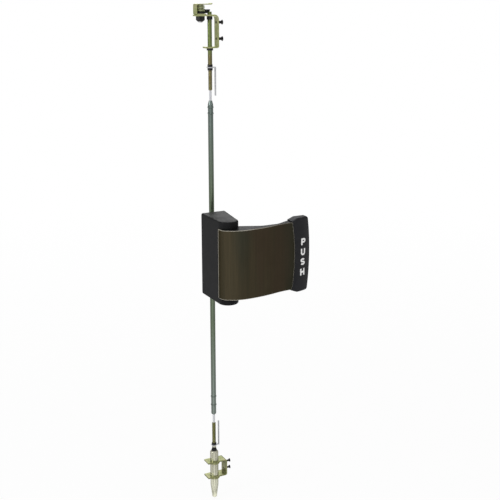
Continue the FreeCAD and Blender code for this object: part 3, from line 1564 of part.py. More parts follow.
def make_latch_cage():
    """The cage over the dog: foot, wall, top strip and a curled lip."""
    body = new_body("latch_cage", 0, "rod_depth")
    inner_top = "(cage_top - cage_gauge)"
    inner_left = "(cage_left + cage_gauge)"
    bend_x = f"({inner_left} + cage_bend)"
    foot_z = f"({CAGE_FOOT} + cage_bend)"
    roof_z = f"({inner_top} - cage_bend)"
    outer = "(lip_radius + cage_gauge)"
    path = [
        (bend_x, "top_bracket_top", None),
        ("cage_foot_right", "top_bracket_top", None),
        ("cage_foot_right", CAGE_FOOT, None),
        (bend_x, CAGE_FOOT, (bend_x, foot_z, -1)),
        (inner_left, foot_z, None),
        (inner_left, roof_z, (bend_x, roof_z, -1)),
        (bend_x, inner_top, None),
        ("lip_place", inner_top, ("lip_place", f"{inner_top} + {outer}", 1)),
        (f"lip_place + {outer} * cos(40)", f"{inner_top} + {outer} - {outer} * sin(40)", None),
        (
            "lip_place + lip_radius * cos(40)",
            f"{inner_top} + {outer} - lip_radius * sin(40)",
            ("lip_place", f"{inner_top} + {outer}", -1),
        ),
        ("lip_place", "cage_top", None),
        (bend_x, "cage_top", (bend_x, roof_z, 1)),
        ("cage_left", roof_z, None),
        ("cage_left", foot_z, (bend_x, foot_z, 1)),
    ]
    add_path(body, XZ, path, "cage_width", both=True)
    post = [("post_place", "0")]
    radius = "post_diameter / 2 + running_fit"
    cut_holes(body, XY, post, radius, "2 * housing_height", offset="cage_top", both=True)
    sink = new_sketch(body, XY, "cage_top")
    draw_circle(sink, "post_place", "0", "post_head / 2 + running_fit")
    cut(body, sink, "cage_gauge / 2", back=True)
    return finished(body)


def make_latch_post():
    """The post that clamps the cage to the bracket and carries the dog."""
    head = "(cage_top - cage_gauge / 2)"
    radius = "post_diameter / 2"
    profile = corners(
        ("0", "post_tail"),
        (f"{radius} - soft_edge / 2", "post_tail"),
        (radius, "post_tail + soft_edge / 2"),
        (radius, head),
        ("post_head / 2", head),
        ("post_head / 2", "cage_top"),
        ("0", "cage_top"),
    )
    return finished(turned("latch_post", profile, "post_place", "rod_depth"))


def make_lock_nut():
    """The nut under the bracket and, below its hexagon, the round crown that grips the thread."""
    high = "(top_bracket_top - bracket_gauge)"
    low = f"({high} - lock_nut_height)"
    bore = "post_diameter / 2 + running_fit"
    body = make_nut("lock_nut", low, "lock_nut_height", "lock_nut_width", bore, "post_place")
    crown = corners(
        (bore, low),
        (bore, f"{low} - lock_nut_crown"),
        ("lock_nut_width / 2 - lock_nut_crown", f"{low} - lock_nut_crown"),
        ("lock_nut_width / 2", low),
    )
    turn_profile(body, crown)
    return finished(body)


def make_latch_dog():
    """The dog: a base disc and sleeve on the post, and the tongue that holds the header strike."""
    body = new_body("latch_dog", "post_place", "rod_depth")
    add_discs(body, XY, [("0", "0")], "dog_base_radius", "dog_base", offset="dog_bottom")
    near_side = f"({LATCH_ROD_RADIUS} + side_gap)"
    far_side = f"({near_side} + tongue_width)"
    high = "(dog_bottom + dog_height)"
    tongue = corners(
        ("-tongue_left", near_side),
        ("tongue_right - tongue_width / 3", near_side),
        ("tongue_right", f"{near_side} + tongue_width / 3"),
        ("tongue_right", far_side),
        ("-tongue_left", far_side),
    )
    add_path(body, XY, tongue, "dog_height", offset="dog_bottom")
    undercut = corners(
        ("tongue_right - tongue_undercut", "dog_bottom"),
        ("tongue_right + tongue_undercut", "dog_bottom"),
        ("tongue_right + tongue_undercut", high),
        ("tongue_right", high),
    )
    cut_path(body, XZ, undercut, "4 * tongue_width", both=True, offset=f"-{far_side}")
    clear = "dog_coil_radius + dog_wire / 2 + side_gap"
    room = "dog_height"
    cut_holes(body, XY, [("0", "0")], clear, room, offset="dog_bottom + dog_base")
    sleeve_top = "(cage_top - cage_gauge - side_gap)"
    add_discs(body, XY, [("0", "0")], "dog_sleeve_radius", f"{sleeve_top} - dog_bottom", offset="dog_bottom")
    bore = "post_diameter / 2 + running_fit"
    cut_holes(body, XY, [("0", "0")], bore, "2 * housing_height", offset="dog_bottom", both=True)
    return finished(body)


# Floor bolt


def make_bottom_rod_chain():
    """Everything between the lower rod tube and the floor bolt that moves with the rod."""
    make_coupling_stud("bottom", "-bottom_stud_end - tube_diameter + running_fit", "-bottom_bead_one")
    seat = "(-bottom_clip_top - clip_gauge - washer_height - neck_height)"
    make_adjusting_stud("bottom", "-bottom_stud_end", seat, -1)
    bore = "stud_diameter / 2 + running_fit"
    finished(make_nut("bottom_jam_nut", "-bottom_clip_top", "jam_nut_height", "jam_nut_width", bore))
    tab = "(-bottom_clip_top - clip_gauge)"
    make_clip("bottom", tab, "-bottom_clip_end", -1)
    low = f"({tab} - washer_height)"
    ring = rectangle(bore, low, "washer_diameter / 2", tab)
    finished(turned("bottom_washer", ring, "rod_place", "rod_depth"))
    base = f"({low} - neck_height)"
    neck = corners((bore, base), ("neck_large / 2", base), ("neck_small / 2", low), (bore, low))
    finished(turned("neck_nut", neck, "rod_place", "rod_depth"))
    make_bottom_bolt(base)


def make_bottom_bolt(top):
    """The floor bolt: rounded shoulder, round body and a tapered end."""
    radius = "(bolt_diameter / 2)"
    hole = "(spigot_diameter / 2 + running_fit)"
    depth = f"({top} - spigot_length - running_fit)"
    profile = [
        (hole, top, None),
        (hole, depth, None),
        ("0", depth, None),
        ("0", "-bolt_end", None),
        ("bolt_tip / 2 - bolt_tip_round", "-bolt_end", None),
        ("bolt_tip / 2", "-bolt_end + bolt_tip_round", None),
        ("bolt_nose / 2", "-bolt_taper_start", None),
        ("bolt_nose / 2", "-bolt_nose_start", None),
        (radius, "-bolt_nose_start", None),
        (radius, f"{top} - bolt_round", (f"{radius} - bolt_round", f"{top} - bolt_round", 1)),
        (f"{radius} - bolt_round", top, None),
    ]
    return finished(turned("bottom_bolt", profile, "rod_place", "rod_depth"))


def make_bottom_bracket():
    """The floor bolt's bracket."""
    path = bracket_path(
        "bottom_bracket_left",
        "bottom_bracket_left",
        "bottom_web_place",
        "-bottom_bracket_top",
        "-bottom_bracket_bottom",
        "bottom_bend",
        "bottom_lower_bend",
    )
    sleeve = "bolt_diameter / 2 + bolt_bush_wall + 2 * running_fit"
    holes = [
        ("rod_place", sleeve, "-bottom_bracket_top"),
        ("rod_place", sleeve, "-bottom_bracket_bottom"),
    ]
    levels = ["-bottom_screw_upper", "-bottom_screw_lower"]
    make_bracket("bottom_bracket", path, "bottom_bracket_width", holes, levels, "bottom_screw")


def make_bolt_bushes():
    """A flanged bush under each flange of the floor bracket."""
    faces = (("upper", "(-bottom_bracket_top - bracket_gauge)"), ("lower", "(-bottom_bracket_bottom)"))
    bore = "bolt_diameter / 2 + running_fit"
    sleeve = "bolt_diameter / 2 + bolt_bush_wall"
    for name, face in faces:
        profile = corners(
            (bore, f"{face} - bolt_bush_height"),
            ("bolt_bush_flange / 2", f"{face} - bolt_bush_height"),
            ("bolt_bush_flange / 2", face),
            (sleeve, face),
            (sleeve, f"{face} + bracket_gauge"),
            (bore, f"{face} + bracket_gauge"),
        )
        finished(turned(f"{name}_bolt_bush", profile, "rod_place", "rod_depth"))


def make_bottom_bracket_screws():
    """The two screws in the floor bracket's web."""
    members = [
        countersunk_screw(
            f"{name}_bottom_bracket_screw",
            "bottom_screw",
            "bottom_screw_head",
            "bracket_screw_head_height",
            "bottom_screw_length",
            "bottom_web_place",
            "bracket_screw_grip",
            level,
        )
        for name, level in (("upper", "-bottom_screw_upper"), ("lower", "-bottom_screw_lower"))
    ]
    return finished(group("bottom_bracket_screws", members))


def check_document():
    """Stop if any feature failed, any cut removed nothing, or any piece isn't sound."""
    faults = []
    for item in DOC.Objects:
        if "Invalid" in item.State or "Error" in item.State:
            faults.append(f"{item.Name} of {item.Label} is {item.State}")
        if item.TypeId == "PartDesign::Pocket" and item.BaseFeature is not None:
            removed = item.BaseFeature.Shape.Volume - item.Shape.Volume
            if removed < 0.01:
                faults.append(f"{item.Name} in {item.getParentGeoFeatureGroup().Label} removed {removed:.4f}")
    for piece in PIECES:
        shape = piece.Shape
        if shape.isNull() or not shape.isValid() or not shape.Solids:
            faults.append(f"{piece.Label} isn't a sound solid")
        if piece.TypeId == "PartDesign::Body" and len(shape.Solids) != 1:
            faults.append(f"{piece.Label} has {len(shape.Solids)} solids")
    if faults:
        raise RuntimeError("; ".join(faults))


def write_pieces():
    """Write each piece to its own file."""
    os.makedirs("parts", exist_ok=True)
    for piece in PIECES:
        piece.Shape.exportStep(os.path.join("parts", f"{piece.Label}.step"))
    print(f"{len(PIECES)} nodes written")


def main():
    """Build the whole assembly."""
    fill_sheet()
    make_housing()
    make_back_plate()
    make_back_plate_screws()
    make_pivot_pin()
    make_paddle_body()
    make_face_plate()
    make_end_cap()
    make_end_cap_screws()
    make_hub_bushes()
    make_drive_arm()
    make_arm_dowel()
    make_return_spring()
    make_transfer_slide()
    make_slide_guide_studs()
    make_case_spacers()
    make_actuator_case()
    make_case_cover()
    make_case_screws()
    for name, side in (("top", 1), ("bottom", -1)):
        make_carrier(name, side)
        make_cam_pin(name, side)
        make_tube_pin(name, side)
        make_rod_guide(name, side)
    make_top_rod_tube()
    make_bottom_rod_tube()
    make_top_rod_chain()
    make_top_bracket()
    make_top_bracket_screws()
    make_guide_bush()
    make_latch_cage()
    make_latch_post()
    make_lock_nut()
    make_latch_dog()
    make_dog_spring()
    make_bottom_rod_chain()
    make_bottom_bracket()
    make_bolt_bushes()
    make_bottom_bracket_screws()
    DOC.recompute()
    check_document()
    write_pieces()


main()
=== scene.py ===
"""Looks of a paddle deadlatch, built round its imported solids.

The latch hangs on a glass door's stile. A cast housing carries a swinging paddle, one rod runs up
to a latch at the header and one runs down to a floor bolt. Lengths are in metres, in the frame of
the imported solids, unless a class says otherwise.
"""

import json
import logging
import math
from dataclasses import dataclass, replace
from enum import Enum
from functools import cache

import bmesh
import bpy
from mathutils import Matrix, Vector
from mathutils.bvhtree import BVHTree


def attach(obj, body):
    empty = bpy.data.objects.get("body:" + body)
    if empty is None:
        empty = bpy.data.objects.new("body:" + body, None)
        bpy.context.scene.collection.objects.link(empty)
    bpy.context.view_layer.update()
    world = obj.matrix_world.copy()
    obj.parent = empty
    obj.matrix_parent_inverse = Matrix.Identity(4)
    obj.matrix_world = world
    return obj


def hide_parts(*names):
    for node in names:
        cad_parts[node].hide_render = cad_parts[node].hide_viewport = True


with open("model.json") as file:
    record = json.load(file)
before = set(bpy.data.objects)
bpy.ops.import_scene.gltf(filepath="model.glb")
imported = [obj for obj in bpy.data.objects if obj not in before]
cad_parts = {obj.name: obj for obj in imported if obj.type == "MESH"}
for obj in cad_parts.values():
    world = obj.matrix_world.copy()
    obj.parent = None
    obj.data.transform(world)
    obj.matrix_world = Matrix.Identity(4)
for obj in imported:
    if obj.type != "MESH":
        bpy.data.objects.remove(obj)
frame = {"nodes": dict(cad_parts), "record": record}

MM = 0.001
QUARTER = math.pi / 2
ARC_STEP = 10.0
LOG = logging.getLogger("deadlatch")
Colour = tuple[float, float, float]
Tint = tuple[float, float, float, float]
Point = tuple[float, float, float]
Flat = tuple[float, float]
Mesh = bpy.types.Mesh
Socket = bpy.types.NodeSocket
Feeds = dict[str | int, object]

# Corners nearer than this are one.
WELD = 0.001 * MM
# Heights of a noise between which a tone changes: nearly all of its range, and its middle.
WHOLE = (0.3, 0.7)
MIDDLE = (0.35, 0.65)


# -------- node trees


class Nodes:
    """A node tree, written a node at a time."""

    tree: bpy.types.NodeTree

    def node(self, kind: str, feeds: Feeds | None = None, **fields: object) -> bpy.types.Node:
        """Adds one node.

        Args:
            kind: The node's type.
            feeds: A value, a socket or a list of sockets for each named or numbered input.
            **fields: The node's own settings.

        Returns:
            The node.
        """
        made = self.tree.nodes.new(kind)
        for name, value in fields.items():
            setattr(made, name, value)
        for key, value in (feeds or {}).items():
            for one in value if isinstance(value, list) else [value]:
                if isinstance(one, Socket):
                    self.tree.links.new(one, made.inputs[key])
                else:
                    made.inputs[key].default_value = one
        return made

    def out(self, kind: str, feeds: Feeds | None = None, **fields: object) -> Socket:
        """Adds one node in the same way and gives its first output."""
        return self.node(kind, feeds, **fields).outputs[0]

    def math(self, operation: str, first: object, second: object = 0.0) -> Socket:
        """Works one sum of two numbers or sockets."""
        return self.out("ShaderNodeMath", {0: first, 1: second}, operation=operation)

    def ramp(
        self, value: Socket, low: float, high: float, to_low: float = 0.0, to_high: float = 1.0
    ) -> Socket:
        """Maps a value from one range onto another, and holds it at the ends."""
        return self.out("ShaderNodeMapRange", {0: value, 1: low, 2: high, 3: to_low, 4: to_high})


class Graph(Nodes):
    """The nodes of a material or of the sky."""

    def __init__(self, owner: bpy.types.Material | bpy.types.World) -> None:
        """Empties the tree and takes the place on the piece, or the direction in the sky.

        Args:
            owner: The material or the sky.
        """
        owner.use_nodes = True
        self.tree = owner.node_tree
        self.tree.nodes.clear()
        sky = isinstance(owner, bpy.types.World)
        self.end = "ShaderNodeOutputWorld" if sky else "ShaderNodeOutputMaterial"
        self.here = self.node("ShaderNodeTexCoord").outputs["Generated" if sky else "Object"]

    def part(self, axis: str) -> Socket:
        """Gives one coordinate, X, Y or Z, of the shaded point."""
        return self.node("ShaderNodeSeparateXYZ", {0: self.here}).outputs[axis]

    def noise(self, scale: float | Point, detail: float = 3.0, roughness: float = 0.55) -> Socket:
        """Gives a noise, stretched where its scale differs by direction.

        Args:
            scale: Waves to the metre, one number or one for each direction.
            detail: How many finer noises lie on it.
            roughness: How strong the finer ones are.

        Returns:
            The noise, about 0.3 to 0.7.
        """
        stretch = (scale,) * 3 if isinstance(scale, float) else scale
        placed = self.out("ShaderNodeMapping", {"Vector": self.here, "Scale": stretch})
        feeds = {"Vector": placed, "Scale": 1.0, "Detail": detail, "Roughness": roughness}
        return self.out("ShaderNodeTexNoise", feeds)

    def blend(self, share: object, first: object, second: object) -> Socket:
        """Mixes two colours.

        Args:
            share: How much of the second there is, from 0 to 1.
            first: The first colour or socket.
            second: The second colour or socket.

        Returns:
            The mixed colour.
        """
        pair = [(*c, 1.0) if isinstance(c, tuple) else c for c in (first, second)]
        feeds = {0: share, 6: pair[0], 7: pair[1]}  # 6 and 7 take colours
        return self.node("ShaderNodeMix", feeds, data_type="RGBA").outputs[2]

    def relief(self, height: Socket, depth: float) -> Socket:
        """Turns a height from 0 to 1, whose full range is this deep, into a bumped normal."""
        return self.out("ShaderNodeBump", {"Height": height, "Distance": depth, "Strength": 1.0})

    def finish(self, surface: Socket) -> None:
        """Joins the surface to the output."""
        self.node(self.end, {"Surface": surface})


# -------- finishes


@dataclass(frozen=True)
class Finish:
    """What each finish has, and a plain way to draw it.

    Patch and grain are a slow and a fine noise, in waves to the metre, and uneven is how far the
    roughness strays. Drawn is how long a gloss is drawn, and sheen its tint at a glance.
    """

    name: str
    colour: Colour
    second: Colour
    roughness: float
    metallic: float = 0.0
    patch: float = 60.0
    grain: float = 2200.0
    depth: float = 0.02 * MM
    gloss: float = 0.5
    uneven: float = 0.05
    drawn: float = 0.0
    sheen: Tint = (1.0, 1.0, 1.0, 1.0)

    def material(self) -> bpy.types.Material:
        """Gives this finish's material, made when it is first asked for.

        Returns:
            The material.
        """
        known = bpy.data.materials.get(self.name)
        if known is None:
            known = bpy.data.materials.new(self.name)
            self.draw(Graph(known))
        return known

    def draw(self, graph: Graph) -> None:
        """Draws two mottled tones with a fine grain."""
        tone, colour = self.mottled(graph)
        self.shine(graph, colour, tone, graph.noise(self.grain, 2.0))

    def mottled(self, graph: Graph) -> tuple[Socket, Socket]:
        """Gives a slow noise, and the two tones that change with it."""
        tone = graph.noise(self.patch, 4.0)
        return tone, graph.blend(graph.ramp(tone, *MIDDLE), self.colour, self.second)

    def shine(self, graph: Graph, colour: Socket, tone: Socket, grain: Socket) -> None:
        """Puts a colour, an uneven polish and a grain on the surface.

        Args:
            graph: The material's nodes.
            colour: The surface's colour.
            tone: A slow noise that the polish follows.
            grain: A fine noise for the bump.
        """
        least, most = self.roughness - self.uneven, self.roughness + self.uneven
        feeds = {
            "Base Color": colour,
            "Metallic": self.metallic,
            "Roughness": graph.ramp(tone, *WHOLE, least, most),
            "Normal": graph.relief(grain, self.depth),
            "Specular IOR Level": self.gloss,
            "Specular Tint": self.sheen,
            "Anisotropic": self.drawn,
        }
        graph.finish(graph.out("ShaderNodeBsdfPrincipled", feeds))


@dataclass(frozen=True)
class Casting(Finish):
    """Satin black paint over a casting, its rounded edges a little paler: a painted highlight.

    Edge_turn is how nearly a rounded edge faces as its face does, at no and at full highlight.
    """

    sheen: Tint = (0.3, 0.3, 0.31, 1.0)
    worn: Colour = (0.05, 0.05, 0.052)
    edge_highlight_share: float = 0.8
    edge_radius: float = 0.9 * MM
    edge_turn: Flat = (0.995, 0.9)
    highlight_breaks: float = 420.0
    highlight_breaks_at: Flat = (0.42, 0.6)
    highlight_breaks_least: float = 0.1

    def draw(self, graph: Graph) -> None:
        """Draws the paint, its orange peel and the painted highlight on its edges.

        Args:
            graph: The material's nodes.
        """
        tone, paint = self.mottled(graph)
        rounded = graph.out("ShaderNodeBevel", {"Radius": self.edge_radius}, samples=6)
        flat = graph.node("ShaderNodeNewGeometry").outputs["Normal"]
        feeds = {0: rounded, 1: flat}
        along = graph.node("ShaderNodeVectorMath", feeds, operation="DOT_PRODUCT").outputs["Value"]
        # Painted highlight: a rounded edge turns paler, broken up by a slow noise.
        edge = graph.ramp(along, *self.edge_turn, 0.0, self.edge_highlight_share)
        broken_highlight = graph.ramp(graph.noise(self.highlight_breaks), *self.highlight_breaks_at, self.highlight_breaks_least)
        colour = graph.blend(graph.math("MULTIPLY", edge, broken_highlight), paint, self.worn)
        self.shine(graph, colour, tone, graph.noise(self.grain, 2.0))


@dataclass(frozen=True, kw_only=True)
class Brushed(Finish):
    """Metal with lines drawn along one direction.

    A line's bottom is line_tone of the first colour. The dim sheen keeps a round rod's sides dark.
    """

    metallic: float = 1.0
    patch: float = 40.0
    drawn: float = 0.4
    sheen: Tint = (0.15, 0.15, 0.14, 1.0)
    lines: Point = (2600.0, 2600.0, 22.0)
    line_share: float = 0.35
    line_tone: float = 0.62
    bands: Point = (210.0, 210.0, 3.0)
    bands_at: Flat = (0.38, 0.62)
    third: Colour
    third_at: Flat = (0.4, 0.65)
    third_share: float = 0.7

    def draw(self, graph: Graph) -> None:
        """Draws the lines, wider bands of tone and a slow drift.

        Args:
            graph: The material's nodes.
        """
        fine = graph.noise(self.lines, 2.0)
        band = graph.ramp(graph.noise(self.bands, 3.0), *self.bands_at)
        drift = graph.noise(self.patch, 2.0)
        ground = graph.blend(band, self.colour, self.second)
        ground = graph.blend(self.spread(graph, drift), ground, self.third)
        bottom = tuple(self.line_tone * c for c in self.colour)
        colour = graph.blend(graph.ramp(fine, *MIDDLE, 0.0, self.line_share), ground, bottom)
        self.shine(graph, self.trimmed(graph, colour), fine, fine)

    def spread(self, graph: Graph, drift: Socket) -> Socket:
        """Gives how much of the third tone shows, which drifts slowly over the metal."""
        return graph.ramp(drift, *self.third_at, 0.0, self.third_share)

    def trimmed(self, graph: Graph, colour: Socket) -> Socket:
        """Gives the colour with its trim, of which a plain drawn metal has none."""
        return colour


@dataclass(frozen=True)
class Drift:
    """A tint that shows in slow patches, from where a noise starts to rise to where it is high."""

    tint: Colour
    waves: Point
    at: Flat
    share: float

    def over(self, graph: Graph, colour: Socket) -> Socket:
        """Gives a colour with this tint's patches over it."""
        shown = graph.ramp(graph.noise(self.waves, 1.0), *self.at, 0.0, self.share)
        return graph.blend(shown, colour, self.tint)


@dataclass(frozen=True)
class BrushedPlate(Brushed):
    """The face plate's bronze, its patina, a painted shade and a painted highlight round its rim.

    The highlight, a bright line, fades along the plate's two ends, and is whole on the edge behind
    the hub and on the bowed edge by the end cap, an arc about a point far to the left. The painted
    shade is the third tone, spread more towards the end cap.
    """

    patina: Drift = Drift((0.058, 0.063, 0.046), (19.0, 19.0, 4.0), at=(0.42, 0.6), share=0.55)
    blush: Drift = Drift((0.092, 0.064, 0.044), (31.0, 31.0, 5.0), at=(0.52, 0.66), share=0.5)
    rim_highlight: Colour = (0.74, 0.70, 0.60)
    half_height: float = 0.05195
    fade: Flat = (0.012, 0.075)
    faded: float = 0.35
    wrap_back: float = -0.0630
    bow_centre: float = -0.201
    bow_radius: float = 0.2994
    bow_share: float = 0.7
    shade_span: Flat = (0.03, 0.105)
    shade_shares: Flat = (-0.1, 0.75)
    shade_drift: Flat = (-0.15, 0.25)

    def spread(self, graph: Graph, drift: Socket) -> Socket:
        """Gives how much painted shade, the darker third tone, shows: more towards the end cap.

        Args:
            graph: The material's nodes.
            drift: A slow noise.

        Returns:
            The share, never below 0.
        """
        # Painted shade: the third tone spreads towards the end cap, and a slow noise strays it.
        towards = graph.ramp(graph.part("X"), *self.shade_span, *self.shade_shares)
        strayed = graph.math("ADD", towards, graph.ramp(drift, *MIDDLE, *self.shade_drift))
        return graph.math("MAXIMUM", strayed, 0.0)

    def trimmed(self, graph: Graph, colour: Socket) -> Socket:
        """Gives the colour its patina and a painted highlight along the plate's four edges.

        Args:
            graph: The material's nodes.
            colour: The brushed colour.

        Returns:
            The colour with its painted highlight.
        """
        x, y, z = (graph.part(axis) for axis in "XYZ")
        # Painted highlight: a bright line on the plate's edges, fading along its two ends.
        ends = graph.math("GREATER_THAN", graph.math("ABSOLUTE", z), self.half_height)
        ends = graph.math("MULTIPLY", ends, graph.ramp(x, *self.fade, 1.0, self.faded))
        behind = graph.math("GREATER_THAN", y, self.wrap_back)
        wrap = graph.math("MULTIPLY", behind, graph.math("LESS_THAN", x, 0.0))
        away = graph.math("SUBTRACT", x, self.bow_centre)
        reach = graph.math("ADD", graph.math("POWER", away, 2.0), graph.math("POWER", z, 2.0))
        bow = graph.math("GREATER_THAN", reach, self.bow_radius**2)
        bow = graph.math("MULTIPLY", bow, self.bow_share)
        rim_highlight = graph.math("MAXIMUM", graph.math("MAXIMUM", ends, wrap), bow)
        return graph.blend(rim_highlight, self.blush.over(graph, self.patina.over(graph, colour)), self.rim_highlight)


@dataclass(frozen=True, kw_only=True)
class Chromate(Finish):
    """Zinc plating whose tint drifts, as from straw to green and rose."""

    metallic: float = 0.9
    second_at: Flat = (0.38, 0.6)
    third: Colour
    third_at: Flat = (0.5, 0.68)
    third_share: float = 0.75
    third_finer: float = 2.3

    def draw(self, graph: Graph) -> None:
        """Draws three tints that run into each other.

        Args:
            graph: The material's nodes.
        """
        tone = graph.noise(self.patch, 4.0, 0.6)
        other = graph.noise(self.patch * self.third_finer, 3.0, 0.6)
        tint = graph.blend(graph.ramp(tone, *self.second_at), self.colour, self.second)
        share = graph.ramp(other, *self.third_at, 0.0, self.third_share)
        tint = graph.blend(share, tint, self.third)
        self.shine(graph, tint, other, graph.noise(self.grain, 2.0))


@dataclass(frozen=True, kw_only=True)
class Drawn(Brushed):
    """A drawn rod, whose tint turns from its own colours at height low to a far tint at height
    high.
    """

    depth: float = 0.008 * MM
    lines: Point = (2400.0, 2400.0, 14.0)
    bands: Point = (500.0, 500.0, 4.0)
    low: float
    high: float
    far: Colour
    far_share: float = 0.85

    def trimmed(self, graph: Graph, colour: Socket) -> Socket:
        """Gives the colour as it changes along the rod."""
        share = graph.ramp(graph.part("Z"), self.low, self.high, 0.0, self.far_share)
        return graph.blend(share, colour, self.far)


CAST_BLACK = Casting(
    "cast_black", (0.0066, 0.0067, 0.0072), (0.0098, 0.0100, 0.0106),
    roughness=0.5, depth=0.03 * MM, gloss=0.44,
)
CAP_BLACK = Casting(
    "cap_black", (0.0160, 0.0162, 0.0178), (0.0215, 0.0218, 0.0240),
    roughness=0.46, depth=0.015 * MM, gloss=0.4,
)
# Its third, darker tone is the plate's painted shade towards the end cap.
BRONZE = BrushedPlate(
    "brushed_bronze", (0.088, 0.075, 0.046), (0.102, 0.083, 0.050), third=(0.050, 0.044, 0.026),
    roughness=0.54, patch=22.0, depth=0.003 * MM, line_share=0.24,
)
ROD = Drawn(
    "drawn_rod", (0.17, 0.22, 0.14), (0.27, 0.33, 0.23), third=(0.22, 0.27, 0.20),
    roughness=0.34, low=0.09, high=0.22, far=(0.235, 0.29, 0.28),
)
LOWER_ROD = replace(ROD, name="drawn_lower_rod", low=-0.12, high=-0.25, far=(0.32, 0.37, 0.34))
LATCH_STEEL = Drawn(
    "drawn_latch_rod", (0.19, 0.255, 0.085), (0.28, 0.35, 0.13), third=(0.24, 0.29, 0.11),
    roughness=0.32, low=0.301, high=0.291, far=(0.25, 0.205, 0.10),
)
BOLT = Drawn(
    "turned_bolt", (0.95, 0.94, 0.74), (0.97, 0.96, 0.80), third=(0.90, 0.90, 0.70),
    roughness=0.25, metallic=0.65, patch=30.0, depth=0.003 * MM, lines=(12.0, 12.0, 2200.0),
    bands=(8.0, 8.0, 60.0), line_share=0.16, low=-0.398, high=-0.38, far=(0.62, 0.61, 0.48),
)
CLIP = Brushed(
    "bright_strip", (0.72, 0.73, 0.76), (0.82, 0.83, 0.85), third=(0.70, 0.71, 0.75),
    roughness=0.34, metallic=0.4, depth=0.005 * MM, lines=(2200.0, 2200.0, 60.0),
    bands=(300.0, 300.0, 20.0), line_share=0.2,
)
YELLOW = Chromate(
    "yellow_chromate", (0.70, 0.72, 0.36), (0.52, 0.58, 0.24), third=(0.72, 0.66, 0.40),
    roughness=0.34, metallic=0.78, patch=75.0,
)
# A darker copy of the yellow chromate for the floor bolt's bracket and bushes: painted shade.
LOWER_YELLOW = Chromate(
    "worn_chromate", (0.44, 0.45, 0.22), (0.26, 0.29, 0.12), third=(0.50, 0.46, 0.26),
    roughness=0.30, metallic=0.78, patch=75.0,
)
STUD = Chromate(
    "olive_chromate", (0.26, 0.22, 0.10), (0.33, 0.30, 0.15), third=(0.20, 0.21, 0.10),
    roughness=0.38, patch=90.0,
)
LOWER_STUD = Chromate(
    "green_chromate", (0.20, 0.20, 0.07), (0.29, 0.28, 0.12), third=(0.16, 0.18, 0.08),
    roughness=0.38, patch=90.0,
)
ZINC = Chromate(
    "clear_zinc", (0.50, 0.52, 0.52), (0.60, 0.62, 0.63), third=(0.54, 0.56, 0.60),
    roughness=0.34, metallic=0.95, patch=50.0,
)
PIN = Finish(
    "ground_pin", (0.58, 0.58, 0.58), (0.64, 0.64, 0.65),
    roughness=0.26, metallic=1.0, patch=160.0, grain=3200.0, depth=0.002 * MM,
)
SPRING = Finish(
    "spring_wire", (0.50, 0.54, 0.28), (0.62, 0.66, 0.38),
    roughness=0.3, metallic=0.85, patch=130.0, grain=1500.0, depth=0.006 * MM,
)
DARK = Finish(
    "black_oxide", (0.018, 0.018, 0.019), (0.035, 0.034, 0.034),
    roughness=0.42, metallic=0.6, patch=220.0, grain=2600.0, depth=0.008 * MM,
)
PLASTIC = Finish(
    "black_nylon", (0.012, 0.012, 0.012), (0.018, 0.018, 0.018),
    roughness=0.5, patch=120.0, grain=1800.0, depth=0.012 * MM,
)
PAINT = Finish(
    "white_paint", (0.98, 0.98, 0.97), (0.94, 0.94, 0.93),
    roughness=0.55, patch=300.0, grain=2600.0, depth=0.01 * MM,
)


# -------- pieces


# Angles between two faces: up to the first they are one, past the next their edge is eased, and
# past the last it is sharp.
FLAT_TURN, EASED_TURN, BEND_TURN = math.radians(0.6), 0.7, math.radians(32.0)
# Each solid's moving group, and its material place, read before a finish takes it.
GROUPS = frame["record"]["behaviour"]["bodies"]
BODIES = {node: body for body, members in GROUPS.items() for node in members}
SLOTS = {node: solid.material_slots[0].material.name for node, solid in frame["nodes"].items()}


def stand(name: str, data: bpy.types.ID) -> bpy.types.Object:
    """Puts a new object in the scene.

    Args:
        name: Its name.
        data: The mesh, the lamp or the camera that it holds.

    Returns:
        The object.
    """
    made = bpy.data.objects.new(name, data)
    bpy.context.scene.collection.objects.link(made)
    return made


def place(name: str, mesh: Mesh, finish: Finish, node: str) -> bpy.types.Object:
    """Makes a mesh a piece of the latch.

    Args:
        name: The piece's name.
        mesh: Its mesh, already where it belongs.
        finish: Its finish.
        node: The solid whose moving group it takes.

    Returns:
        The piece.
    """
    body, slot = BODIES[node], SLOTS[node]
    piece = stand(name, mesh)
    mesh.materials.clear()
    mesh.materials.append(finish.material())
    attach(piece, body)
    LOG.info("piece %s on %s: %d faces", name, body, len(mesh.polygons))
    return piece


def dress(finish: Finish, *nodes: str) -> None:
    """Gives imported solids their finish, and leaves their shape.

    Args:
        finish: The finish.
        *nodes: The solids' names.
    """
    for node in nodes:
        solid, slot = frame["nodes"][node], SLOTS[node]
        for held in solid.material_slots:
            held.material = finish.material()
        LOG.info("solid %s in %s", node, finish.name)


def baked(host: bpy.types.Object) -> Mesh:
    """Gives the plain mesh that an object's modifiers make, and clears the object away.

    Args:
        host: The object.

    Returns:
        The mesh.
    """
    graph = bpy.context.evaluated_depsgraph_get()
    made = bpy.data.meshes.new_from_object(host.evaluated_get(graph), depsgraph=graph)
    host.modifiers.clear()
    start = host.data
    bpy.data.objects.remove(host)
    bpy.data.meshes.remove(start)
    return made


def smooth_by_angle(mesh: Mesh) -> None:
    """Shades a mesh smooth, and leaves an edge sharp that turns more than a bend."""
    mesh.shade_smooth()
    mesh.set_sharp_from_angle(angle=BEND_TURN)


